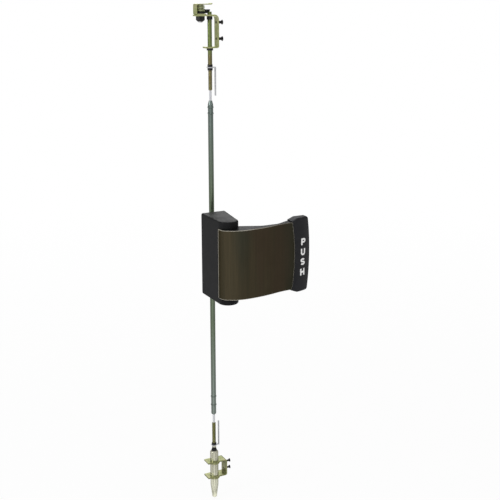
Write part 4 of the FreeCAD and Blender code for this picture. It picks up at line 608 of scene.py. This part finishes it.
def eased(node: str, finish: Finish, width: float) -> None:
    """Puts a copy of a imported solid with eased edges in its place.

    The copy's shading follows its large faces, so that flats stay flat beside their bends.

    Args:
        node: The solid.
        finish: The copy's finish.
        width: How wide the eased edges are.
    """
    form = bmesh.new()
    form.from_mesh(frame["nodes"][node].data)
    bmesh.ops.remove_doubles(form, verts=form.verts, dist=WELD)
    bmesh.ops.dissolve_limit(form, angle_limit=FLAT_TURN, verts=form.verts, edges=form.edges)
    inner = [edge for edge in form.edges if len(edge.link_faces) == 2]
    sharp = [edge for edge in inner if edge.calc_face_angle(0.0) > EASED_TURN]
    shape = {"segments": 2, "profile": 0.5, "affect": "EDGES", "clamp_overlap": True}
    bmesh.ops.bevel(form, geom=sharp, offset=width, **shape)
    mesh = bpy.data.meshes.new(f"{node}_eased")
    form.to_mesh(mesh)
    form.free()
    smooth_by_angle(mesh)
    host = stand("host", mesh)
    step = host.modifiers.new("flats", "WEIGHTED_NORMAL")
    step.keep_sharp = True
    step.weight = 100
    piece = place(f"{node}_finished", baked(host), finish, node)
    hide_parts(node)


# -------- repeated forms


class Recipe(Nodes):
    """A Geometry Nodes tree with named inputs, which gives a mesh.

    A helix has STEPS points in a turn, and what is wound along it has CORNERS.
    """

    STEPS = 24
    CORNERS = 6

    def __init__(self, name: str) -> None:
        """Starts a tree that takes nothing yet.

        Args:
            name: The tree's name.
        """
        self.tree = bpy.data.node_groups.new(name, "GeometryNodeTree")
        self.tree.interface.new_socket("Mesh", in_out="OUTPUT", socket_type="NodeSocketGeometry")
        self.start = self.node("NodeGroupInput")

    def ask(self, name: str, kind: str = "Float") -> Socket:
        """Adds a named input and gives its socket inside the tree."""
        self.tree.interface.new_socket(name, in_out="INPUT", socket_type=f"NodeSocket{kind}")
        return self.start.outputs[name]

    def wound(
        self, radius: Socket, turns: Socket, length: Socket, ridge: object, scale: object = 1.0
    ) -> Socket:
        """Winds a small round section round the upright axis.

        Args:
            radius: The helix's radius.
            turns: How many turns it has.
            length: Its height.
            ridge: The section's radius.
            scale: The section's size along the helix.

        Returns:
            The closed coil.
        """
        ends = {"Start Radius": radius, "End Radius": radius}
        feeds = {"Resolution": self.STEPS, "Rotations": turns, "Height": length, **ends}
        helix = self.out("GeometryNodeCurveSpiral", feeds)
        feeds = {"Resolution": self.CORNERS, "Radius": ridge}
        section = self.out("GeometryNodeCurvePrimitiveCircle", feeds)
        feeds = {"Curve": helix, "Profile Curve": section, "Scale": scale, "Fill Caps": True}
        return self.out("GeometryNodeCurveToMesh", feeds)

    def moved(self, geometry: Socket, to: object = (0.0,) * 3, turn: object = (0.0,) * 3) -> Socket:
        """Moves and turns a mesh."""
        feeds = {"Geometry": geometry, "Translation": to, "Rotation": turn}
        return self.out("GeometryNodeTransform", feeds)

    def close(self, geometry: Socket) -> None:
        """Ends the tree with real geometry in a material that is asked for.

        Args:
            geometry: What the tree made.
        """
        real = self.out("GeometryNodeRealizeInstances", {0: geometry})
        feeds = {"Geometry": real, "Material": self.ask("Material", "Material")}
        self.node("NodeGroupOutput", {0: self.out("GeometryNodeSetMaterial", feeds)})

    def cook(self, values: dict[str, object]) -> Mesh:
        """Runs the tree once on an empty mesh.

        Args:
            values: A value for each named input.

        Returns:
            The plain mesh that came out.
        """
        host = stand("host", bpy.data.meshes.new("host"))
        step = host.modifiers.new("form", "NODES")
        step.node_group = self.tree
        for item in self.tree.interface.items_tree:
            if item.in_out == "INPUT":
                step[item.identifier] = values[item.name]
        return baked(host)


class ThreadRecipe(Recipe):
    """A thread's ridge, wound round an upright stud and fading over its first and last turn."""

    FADE_TURNS = 0.8
    FADED = 0.25

    def __init__(self) -> None:
        """Writes the tree: the coil, its fading ends, and the stretch of stud it lies on."""
        super().__init__("thread_ridge")
        radius, pitch = self.ask("Radius"), self.ask("Pitch")
        length, ridge = self.ask("Length"), self.ask("Ridge")
        turns = self.math("DIVIDE", length, pitch)
        along = self.out("GeometryNodeSplineParameter")
        nearer = self.math("MINIMUM", along, self.math("SUBTRACT", 1.0, along))
        turned = self.math("MULTIPLY", nearer, turns)
        fade = self.ramp(turned, 0.0, self.FADE_TURNS, self.FADED)
        coil = self.wound(radius, turns, length, ridge, fade)
        coil = self.moved(coil, self.ask("Corner", "Vector"))
        self.close(self.out("GeometryNodeSetShadeSmooth", {"Geometry": coil}))


class ScrewRecipe(Recipe):
    """A row of cross-recessed screws, each turned as far as the fitter happened to leave it."""

    STEPS = 20
    CORNERS = 4
    SIDES = 32
    EASE = 0.22 * MM
    SHOULDER = 0.02 * MM
    TIP_SHARE = 0.7
    LEAD_SHARE = 0.4
    PITCH = 0.65 * MM
    RIDGE = 0.14 * MM
    SUNK_RIDGE = 0.04 * MM
    WING = {"X": 1.24, "Y": 0.3, "Z": 0.7}
    WING_TAPER = (0.4, 0.6, 1.0)
    LARGEST_TURN = 0.7

    def __init__(self) -> None:
        """Writes the tree: one screw from stacked rings, its recess, its thread, and the row."""
        super().__init__("screw_row")
        self.shank, self.head, self.throat = map(self.ask, ("Shank", "Head", "Throat"))
        self.tall, self.length = self.ask("Head Height"), self.ask("Length")
        self.lead = self.math("MULTIPLY", self.shank, self.LEAD_SHARE)
        feeds = {"Mesh 1": self.shell(), "Mesh 2": self.recess()}
        cut = self.out("GeometryNodeMeshBoolean", feeds, operation="DIFFERENCE", solver="EXACT")
        screw = self.out("GeometryNodeJoinGeometry", {0: [cut, self.ridge()]})
        row = self.out("GeometryNodeMeshLine", {"Count": 2, "Offset": self.ask("Step", "Vector")})
        least, most = (0.0, 0.0, -self.LARGEST_TURN), (0.0, 0.0, self.LARGEST_TURN)
        feeds = {"Min": least, "Max": most, "Seed": self.ask("Seed", "Int")}
        spin = self.out("FunctionNodeRandomValue", feeds, data_type="FLOAT_VECTOR")
        feeds = {"Points": row, "Instance": screw, "Rotation": spin}
        many = self.out("GeometryNodeInstanceOnPoints", feeds)
        turn, first = self.ask("Turn", "Vector"), self.ask("First", "Vector")
        self.close(self.moved(many, first, turn))

    def shell(self) -> Socket:
        """Stacks the rings of one closed screw, from its tip to its crown.

        Returns:
            The screw's mesh.
        """
        tip = self.math("MULTIPLY", self.shank, self.TIP_SHARE)
        neck = self.math("SUBTRACT", self.length, self.tall)
        crown = self.math("SUBTRACT", self.head, self.EASE)
        profile = [
            (tip, 0.0),
            (self.shank, self.lead),
            (self.shank, neck),
            (self.throat, self.math("ADD", neck, self.SHOULDER)),
            (self.head, self.math("SUBTRACT", self.length, 2 * self.EASE)),
            (self.head, self.math("SUBTRACT", self.length, self.EASE)),
            (crown, self.length),
        ]
        faces = [self.ring(*low, *high) for low, high in zip(profile, profile[1:])]
        lower = self.out("GeometryNodeFlipFaces", {"Mesh": self.disc(tip)})
        faces += [lower, self.lifted(self.disc(crown), self.length)]
        feeds = {0: self.out("GeometryNodeJoinGeometry", {0: faces}), "Distance": WELD}
        return self.out("GeometryNodeMergeByDistance", feeds)

    def lifted(self, geometry: Socket, height: object) -> Socket:
        """Lifts a mesh along the screw's axis."""
        return self.moved(geometry, self.out("ShaderNodeCombineXYZ", {"Z": height}))

    def ring(self, low: Socket, start: object, high: Socket, end: Socket) -> Socket:
        """Makes one open ring of the screw's side.

        Args:
            low: Its lower radius.
            start: The lower radius's height.
            high: Its upper radius.
            end: The upper radius's height.

        Returns:
            The ring's mesh.
        """
        depth = self.math("SUBTRACT", end, start)
        feeds = {"Vertices": self.SIDES, "Radius Bottom": low, "Radius Top": high, "Depth": depth}
        return self.lifted(self.out("GeometryNodeMeshCone", feeds, fill_type="NONE"), start)

    def disc(self, radius: Socket) -> Socket:
        """Makes the face that closes an end of the screw."""
        feeds = {"Vertices": self.SIDES, "Radius": radius}
        return self.out("GeometryNodeMeshCircle", feeds, fill_type="NGON")

    def recess(self) -> list[Socket]:
        """Makes the two crossed wings that cut the driver's recess, narrower at their bottom.

        Returns:
            The two wings' meshes.
        """
        sides = {axis: self.math("MULTIPLY", self.head, part) for axis, part in self.WING.items()}
        size = self.out("ShaderNodeCombineXYZ", sides)
        block = self.out("GeometryNodeMeshCube", {"Size": size})
        spot = self.out("GeometryNodeInputPosition")
        depth = self.node("ShaderNodeSeparateXYZ", {0: spot}).outputs["Z"]
        below = self.out("FunctionNodeCompare", {0: depth, 1: 0.0}, operation="LESS_THAN")
        feeds = {0: spot, 1: self.WING_TAPER}
        narrow = self.out("ShaderNodeVectorMath", feeds, operation="MULTIPLY")
        feeds = {"Geometry": block, "Selection": below, "Position": narrow}
        wing = self.lifted(self.out("GeometryNodeSetPosition", feeds), self.length)
        return [wing, self.moved(wing, turn=(0.0, 0.0, QUARTER))]

    def ridge(self) -> Socket:
        """Winds the thread's ridge on the shank.

        Returns:
            The ridge's mesh.
        """
        radius = self.math("SUBTRACT", self.shank, self.SUNK_RIDGE)
        length = self.ask("Thread Length")
        turns = self.math("DIVIDE", length, self.PITCH)
        return self.lifted(self.wound(radius, turns, length, self.RIDGE), self.lead)


@cache
def screw_recipe() -> ScrewRecipe:
    """Gives the screws' tree, written when it is first asked for."""
    return ScrewRecipe()


class Facing(Enum):
    """Where a row's heads look: its turn, and the way that this turn brings upright."""

    RIGHT = ((0.0, QUARTER, 0.0), (-1.0, 0.0, 0.0))
    INTO_DOOR = ((-QUARTER, 0.0, 0.0), (0.0, -1.0, 0.0))


@dataclass(frozen=True)
class ScrewRow:
    """Two equal screws, one above the other, which stand for a packed pair. In millimetres.

    A sunk head tapers to the shank, and any other is smaller at its underside by under.
    """

    node: str
    tip: Point
    spacing: float
    length: float
    thread: float
    shank: float = 3.0
    head: float = 5.6
    head_height: float = 2.2
    facing: Facing = Facing.INTO_DOOR
    sunk: bool = False
    under: float = 0.1

    def build(self) -> None:
        """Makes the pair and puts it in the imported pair's place."""
        turn, way = self.facing.value
        throat = self.shank / 2 if self.sunk else self.head / 2 - self.under
        mesh = screw_recipe().cook(
            {
                "Shank": self.shank / 2 * MM,
                "Head": self.head / 2 * MM,
                "Throat": throat * MM,
                "Head Height": self.head_height * MM,
                "Length": self.length * MM,
                "Thread Length": self.thread * MM,
                "Step": [c * self.spacing * MM for c in way],
                "Turn": turn,
                "First": [c * MM for c in self.tip],
                "Seed": len(self.node),
                "Material": DARK.material(),
            }
        )
        smooth_by_angle(mesh)
        piece = place(f"{self.node}_crossed", mesh, DARK, self.node)
        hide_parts(self.node)


# -------- the sub-assemblies


@dataclass
class Housing:
    """The cast housing on the door face, its back plate and the pin that carries the paddle."""

    screws: ScrewRow = ScrewRow(
        "back_plate_screws", tip=(0.0, -11.2, -55.2), spacing=110.4, length=11.0, thread=7.0,
        head_height=1.25,
    )

    def build(self) -> None:
        """Dresses the casting and what closes it."""
        dress(CAST_BLACK, "housing")
        dress(ZINC, "back_plate")
        self.screws.build()
        dress(PIN, "pivot_pin")
        dress(SPRING, "return_spring")


def arc(centre: Flat, radius: float, start: float, end: float) -> list[Flat]:
    """Gives points along an arc, about ARC_STEP degrees apart.

    Args:
        centre: The arc's middle.
        radius: Its radius.
        start: The first point's angle in degrees.
        end: The last point's angle.

    Returns:
        The points.
    """
    count = int(abs(end - start) / ARC_STEP)
    angles = [math.radians(start + (end - start) * i / count) for i in range(count + 1)]
    return [(centre[0] + radius * math.cos(a), centre[1] + radius * math.sin(a)) for a in angles]


def refine(line: list[Flat], step: float) -> list[Flat]:
    """Divides a line so that no stretch is longer than a step.

    Args:
        line: The line's points, no two of which are at one place.
        step: The longest stretch.

    Returns:
        The line with more points.
    """
    made = [line[0]]
    for (x, z), (to_x, to_z) in zip(line, line[1:]):
        count = math.ceil(math.dist((x, z), (to_x, to_z)) / step)
        shares = [i / count for i in range(1, count + 1)]
        made += [(x + (to_x - x) * share, z + (to_z - z) * share) for share in shares]
    return made


class Letter(Enum):
    """The letters of the word, and where the middle of each lies, across and up."""

    P = (0.1144, 0.0205)
    U = (0.1140, 0.0044)
    S = (0.1136, -0.0108)
    H = (0.1131, -0.0269)


@dataclass
class Paddle:
    """The swinging paddle with its bronze face and the end cap, where the word stands.

    Bowl is the share of a half letter that the P's bowl takes. A stroke rises from the cap and
    goes on below its surface, which is found from a place in front.
    """

    letter_height: float = 10.6 * MM
    letter_width: float = 8.8 * MM
    stroke: float = 2.6 * MM
    bowl: float = 0.56
    rise: float = 0.18 * MM
    sink: float = 0.25 * MM
    fineness: float = 0.8 * MM
    in_front: float = -0.2
    screws: ScrewRow = ScrewRow(
        "end_cap_screws", tip=(108.0, -71.3, -25.0), spacing=50.0, length=9.0, thread=5.0,
        head_height=1.8,
    )

    def build(self) -> None:
        """Dresses the paddle's solids and raises the letters."""
        dress(CAST_BLACK, "paddle_body")
        dress(BRONZE, "face_plate")
        dress(CAP_BLACK, "end_cap")
        self.screws.build()
        dress(PLASTIC, "upper_hub_bush", "lower_hub_bush")
        dress(ZINC, "drive_arm")
        dress(PIN, "arm_dowel")
        self.letters()

    def letters(self) -> None:
        """Raises the four painted letters on the end cap's crown."""
        crown = frame["nodes"]["end_cap"].data
        corners = [v.co.copy() for v in crown.vertices]
        tree = BVHTree.FromPolygons(corners, [tuple(p.vertices) for p in crown.polygons])
        form = bmesh.new()
        for letter in Letter:
            for line in self.strokes(letter):
                self.ribbon(form, self.rows(line, letter.value, tree))
        bmesh.ops.recalc_face_normals(form, faces=form.faces)
        mesh = bpy.data.meshes.new("push_letters")
        form.to_mesh(mesh)
        form.free()
        place("push_letters", mesh, PAINT, "end_cap")

    def strokes(self, letter: Letter) -> list[list[Flat]]:
        """Gives a letter's centre lines, in metres about its middle.

        Args:
            letter: The letter.

        Returns:
            Its lines, each a list of points.
        """
        w = (self.letter_width - self.stroke) / 2
        h = (self.letter_height - self.stroke) / 2
        top = h + self.stroke / 2
        inner = -w + self.stroke / 2
        if letter is Letter.P:
            r = self.bowl * h
            bowl = arc((w - r, h - r), r, 90.0, -90.0)
            return [[(-w, -top), (-w, top)], [(inner, h), *bowl, (inner, h - 2 * r)]]
        if letter is Letter.U:
            bowl = arc((0.0, -h + w), w, 180.0, 360.0)
            return [[(-w, top), *bowl, (w, top)]]
        if letter is Letter.S:
            r = h / 2
            k = w / r
            upper = [(x * k, z) for x, z in arc((0.0, r), r, 25.0, 270.0)]
            lower = [(x * k, z) for x, z in arc((0.0, -r), r, 90.0, -155.0)]
            return [[*upper, *lower[1:]]]
        return [[(-w, -top), (-w, top)], [(w, -top), (w, top)], [(inner, 0.0), (-inner, 0.0)]]

    def rows(self, line: list[Flat], centre: Flat, tree: BVHTree) -> list[list[Point]]:
        """Finds the crown's surface at rows of three places across a stroke.

        Args:
            line: The stroke's centre line.
            centre: Where the letter's middle is, across and up.
            tree: The crown.

        Returns:
            The rows, from the line's start to its end.
        """
        fine = refine(line, self.fineness)
        rows = []
        for (x, z), before, after in zip(fine, [fine[0], *fine], [*fine[1:], fine[-1]]):
            dx, dz = after[0] - before[0], after[1] - before[1]
            run = math.hypot(dx, dz)
            side = (-dz / run * self.stroke / 2, dx / run * self.stroke / 2)
            row = []
            for share in (-1.0, 0.0, 1.0):
                px, pz = centre[0] + x + share * side[0], centre[1] + z + share * side[1]
                hit = tree.ray_cast(Vector((px, self.in_front, pz)), Vector((0.0, 1.0, 0.0)))[0]
                row.append((px, hit.y, pz))
            rows.append(row)
        return rows

    def ribbon(self, form: bmesh.types.BMesh, rows: list[list[Point]]) -> None:
        """Raises one stroke as a closed band.

        Args:
            form: The mesh that grows.
            rows: Places on the crown's surface, three across the stroke in each row.
        """
        outer = [[form.verts.new((x, y - self.rise, z)) for x, y, z in row] for row in rows]
        inner = [[form.verts.new((x, y + self.sink, z)) for x, y, z in row] for row in rows]
        for i in range(len(rows) - 1):
            for j in range(2):
                form.faces.new((outer[i][j], outer[i + 1][j], outer[i + 1][j + 1], outer[i][j + 1]))
                form.faces.new((inner[i][j], inner[i][j + 1], inner[i + 1][j + 1], inner[i + 1][j]))
            for j, turn in ((0, 1), (2, -1)):
                wall = (outer[i][j], inner[i][j], inner[i + 1][j], outer[i + 1][j])
                form.faces.new(wall[::turn])
        for i in (0, len(rows) - 1):
            for j in range(2):
                form.faces.new((outer[i][j], outer[i][j + 1], inner[i][j + 1], inner[i][j]))


@dataclass
class Mechanism:
    """What turns the paddle's swing into the two rods' travel, in the door stile."""

    screws: ScrewRow = ScrewRow(
        "case_screws", tip=(-0.2, -2.4, -38.0), spacing=76.0, length=33.2, thread=6.0,
        shank=3.8, head=7.0, head_height=2.0,
    )

    def build(self) -> None:
        """Dresses the case, the slide and the carriers."""
        dress(ZINC, "actuator_case", "case_cover", "transfer_slide")
        dress(ZINC, "top_carrier", "bottom_carrier")
        dress(PIN, "case_spacers", "slide_guide_studs")
        dress(PIN, "top_cam_pin", "bottom_cam_pin", "top_tube_pin", "bottom_tube_pin")
        self.screws.build()
        dress(PLASTIC, "top_rod_guide", "bottom_rod_guide")


class End(Enum):
    """The end of the latch that a rod runs to."""

    TOP = "top"
    BOTTOM = "bottom"


@dataclass
class RodSet:
    """The two rods between the case and their latches, with the studs that set their length."""

    axis: Flat = (0.0085, 0.022)
    stud_radius: float = 2.62 * MM
    pitch: float = 0.9 * MM
    ridge: float = 0.34 * MM
    top_stretch: Flat = (243.6 * MM, 272.0 * MM)
    bottom_stretch: Flat = (-331.2 * MM, -296.0 * MM)
    nut_ease: float = 0.35 * MM
    clip_ease: float = 0.3 * MM

    def build(self) -> None:
        """Dresses the rods and winds the studs' threads."""
        dress(ROD, "top_rod_tube")
        dress(LOWER_ROD, "bottom_rod_tube")
        dress(LATCH_STEEL, "latch_rod")
        dress(CLIP, "top_coupling_stud", "bottom_coupling_stud")
        for node in ("top_jam_nuts", "bottom_jam_nut"):
            eased(node, DARK, self.nut_ease)
        for node in ("top_lock_clip", "bottom_lock_clip"):
            eased(node, CLIP, self.clip_ease)
        recipe = ThreadRecipe()
        self.stud(recipe, End.TOP, self.top_stretch, STUD)
        self.stud(recipe, End.BOTTOM, self.bottom_stretch, LOWER_STUD)

    def stud(self, recipe: ThreadRecipe, end: End, stretch: Flat, finish: Finish) -> None:
        """Dresses one adjusting stud and winds the thread on its bare stretch.

        Args:
            recipe: The tree that winds it.
            end: The end whose rod it sets.
            stretch: Where the bare stretch starts and ends.
            finish: The stud's finish.
        """
        node = f"{end.value}_adjusting_stud"
        dress(finish, node)
        mesh = recipe.cook(
            {
                "Radius": self.stud_radius,
                "Pitch": self.pitch,
                "Length": stretch[1] - stretch[0],
                "Ridge": self.ridge,
                "Corner": (*self.axis, stretch[0]),
                "Material": finish.material(),
            }
        )
        place(f"{end.value}_stud_thread", mesh, finish, node)


@dataclass
class HeaderLatch:
    """The bracket at the door's top with its cage, its sprung dog and the rod that holds it."""

    bracket_ease: float = 0.45 * MM
    cage_ease: float = 0.35 * MM
    nut_ease: float = 0.4 * MM
    screws: ScrewRow = ScrewRow(
        "top_bracket_screws", tip=(18.6, 22.0, 317.8), spacing=23.7, length=10.5, thread=7.6,
        shank=4.0, head=7.0, facing=Facing.RIGHT, sunk=True,
    )

    def build(self) -> None:
        """Dresses the header's pieces."""
        eased("top_bracket", YELLOW, self.bracket_ease)
        eased("latch_cage", YELLOW, self.cage_ease)
        eased("lock_nut", DARK, self.nut_ease)
        dress(DARK, "latch_dog", "stop_collar")
        self.screws.build()
        dress(PIN, "latch_post")
        dress(SPRING, "dog_spring")
        dress(PLASTIC, "guide_bush")


@dataclass
class FloorBolt:
    """The bolt at the door's foot and the bracket that guides it."""

    bracket_ease: float = 0.45 * MM
    screws: ScrewRow = ScrewRow(
        "bottom_bracket_screws", tip=(25.6, 22.0, -382.0), spacing=12.0, length=11.3,
        thread=8.4, head=6.0, facing=Facing.RIGHT, sunk=True,
    )

    def build(self) -> None:
        """Dresses the foot's pieces."""
        eased("bottom_bracket", LOWER_YELLOW, self.bracket_ease)
        dress(BOLT, "bottom_bolt", "bottom_washer")
        dress(DARK, "neck_nut")
        self.screws.build()
        dress(LOWER_YELLOW, "upper_bolt_bush", "lower_bolt_bush")


# -------- the studio


@dataclass(frozen=True)
class Lamp:
    """One square soft lamp that faces the latch. Its power is in watts."""

    name: str
    where: Point
    size: float
    power: float
    aim: Point = (0.03, 0.0, 0.0)

    def hang(self) -> None:
        """Hangs the lamp."""
        light = bpy.data.lights.new(self.name, "AREA")
        light.energy, light.size = self.power, self.size
        lamp = stand(self.name, light)
        lamp.location = self.where
        way = Vector(self.aim) - Vector(self.where)
        lamp.rotation_euler = way.to_track_quat("-Z", "Y").to_euler()


@dataclass
class Studio:
    """A pale floor, soft lamps and the camera.

    Turn and tilt are the camera's, in degrees. A gloss sees a bright studio with a dark flag on
    either side of the latch. Flag holds the sines at which it starts, is darkest and ends.
    """

    eye: Point = (-0.6197, -1.3070, 0.4011)
    turn: float = 27.6
    tilt: float = 15.4
    lens: float = 70.56
    sensor: float = 36.0
    sight: Flat = (0.05, 400.0)
    floor_level: float = -0.4302
    floor_size: float = 160.0
    floor_tones: tuple[Colour, Colour] = ((0.86, 0.86, 0.86), (0.9, 0.9, 0.9))
    floor_waves: float = 8.0
    shadow_reach: Flat = (0.5, 2.2)
    shadow_white: float = 0.93
    sky_strength: float = 0.6
    side_dark: float = 0.2
    side_light: float = 0.45
    flag: Point = (0.25, 0.65, 0.72)
    gloss_share: float = 0.85
    high_gloss: float = 0.45
    lamps: tuple[Lamp, ...] = (
        Lamp("left_lamp", (-2.2, -0.35, 0.9), size=1.2, power=19.0),
        Lamp("front_lamp", (0.3, -2.3, 1.2), size=1.0, power=5.0),
        Lamp("top_lamp", (0.2, 0.1, 2.3), size=1.2, power=4.0),
        Lamp("back_lamp", (0.6, 2.2, 1.0), size=1.4, power=8.0),
    )

    def build(self) -> None:
        """Sets out the floor, lamps, sky and camera."""
        self.floor()
        for lamp in self.lamps:
            lamp.hang()
        self.sky()
        self.camera()
        bpy.context.scene.view_settings.view_transform = "Standard"

    def floor(self) -> None:
        """Lays a wide white floor that shows plain white and, near the bolt, a faint shadow."""
        half, level = self.floor_size / 2, self.floor_level
        mesh = bpy.data.meshes.new("floor")
        corners = [(x * half, y * half, level) for x, y in ((-1, -1), (1, -1), (1, 1), (-1, 1))]
        mesh.from_pydata(corners, [], [(0, 1, 2, 3)])
        material = bpy.data.materials.new("floor_white")
        graph = Graph(material)
        speck = graph.ramp(graph.noise(self.floor_waves), *WHOLE)
        matt = graph.out("ShaderNodeBsdfDiffuse", {"Color": graph.blend(speck, *self.floor_tones)})
        white = graph.ramp(self.away(graph), *self.shadow_reach, self.shadow_white)
        self.backdrop(graph, matt, self.beside(graph), white)
        mesh.materials.append(material)
        floor = stand("floor", mesh)

    def away(self, graph: Graph) -> Socket:
        """Gives how far the shaded point lies from the upright axis."""
        x, y = (graph.math("POWER", graph.part(axis), 2.0) for axis in "XY")
        return graph.math("SQRT", graph.math("ADD", x, y))

    def beside(self, graph: Graph) -> Socket:
        """Gives a gloss's brightness, which falls at a dark flag on either side of the latch.

        Args:
            graph: The floor's or the sky's nodes.

        Returns:
            The brightness, at most 1.
        """
        turn = math.radians(self.turn)
        across = graph.math("MULTIPLY", graph.part("X"), math.cos(turn))
        along = graph.math("MULTIPLY", graph.part("Y"), math.sin(turn))
        side = graph.math("ABSOLUTE", graph.math("SUBTRACT", across, along))
        share = graph.math("DIVIDE", side, graph.math("MAXIMUM", self.away(graph), MM))
        falling = graph.ramp(share, *self.flag[:2], 1.0, self.side_dark)
        rising = graph.ramp(share, self.flag[2], 1.0, 0.0, self.side_light)
        return graph.math("ADD", falling, rising)

    def backdrop(self, graph: Graph, lit: Socket, gloss: Socket, white_share: object) -> None:
        """Shows white to the camera, the soft studio to a gloss and the lit surface to the rest.

        Args:
            graph: The floor's or the sky's nodes.
            lit: What lights the latch.
            gloss: How bright a gloss sees it.
            white_share: How much of what the camera sees is plain white.
        """
        path = graph.node("ShaderNodeLightPath").outputs
        shiny = graph.math("MAXIMUM", path["Is Glossy Ray"], path["Is Transmission Ray"])
        shown, white = (graph.out("ShaderNodeEmission", {"Strength": s}) for s in (gloss, 1.0))
        feeds = {0: graph.math("MULTIPLY", shiny, self.gloss_share), 1: lit, 2: shown}
        first = graph.out("ShaderNodeMixShader", feeds)
        seen = graph.math("MULTIPLY", path["Is Camera Ray"], white_share)
        graph.finish(graph.out("ShaderNodeMixShader", {0: seen, 1: first, 2: white}))

    def sky(self) -> None:
        """Gives soft light from all round, and white behind the latch."""
        world = bpy.data.worlds.new("studio_sky")
        bpy.context.scene.world = world
        graph = Graph(world)
        feeds = {"Color": (1.0, 1.0, 1.0, 1.0), "Strength": self.sky_strength}
        soft = graph.out("ShaderNodeBackground", feeds)
        high = graph.math("MULTIPLY", self.beside(graph), self.high_gloss)
        self.backdrop(graph, soft, high, 1.0)

    def camera(self) -> None:
        """Stands the camera where the latch is seen from its left and above."""
        lens = bpy.data.cameras.new("camera")
        lens.lens = self.lens
        lens.sensor_width = self.sensor
        lens.clip_start, lens.clip_end = self.sight
        turn, tilt = math.radians(self.turn), math.radians(self.tilt)
        level = math.cos(tilt)
        way = Vector((math.sin(turn) * level, math.cos(turn) * level, -math.sin(tilt)))
        camera = stand("camera", lens)
        camera.location = self.eye
        camera.rotation_euler = way.to_track_quat("-Z", "Y").to_euler()
        bpy.context.scene.camera = camera


def main() -> None:
    """Builds the studio and every sub-assembly."""
    logging.basicConfig(level=logging.INFO, format="%(message)s")
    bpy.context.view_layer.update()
    for kind in (Studio, Housing, Paddle, Mechanism, RodSet, HeaderLatch, FloorBolt):
        LOG.info("building %s", kind.__name__)
        kind().build()
    bpy.context.view_layer.update()


if __name__ == "__main__":
    main()
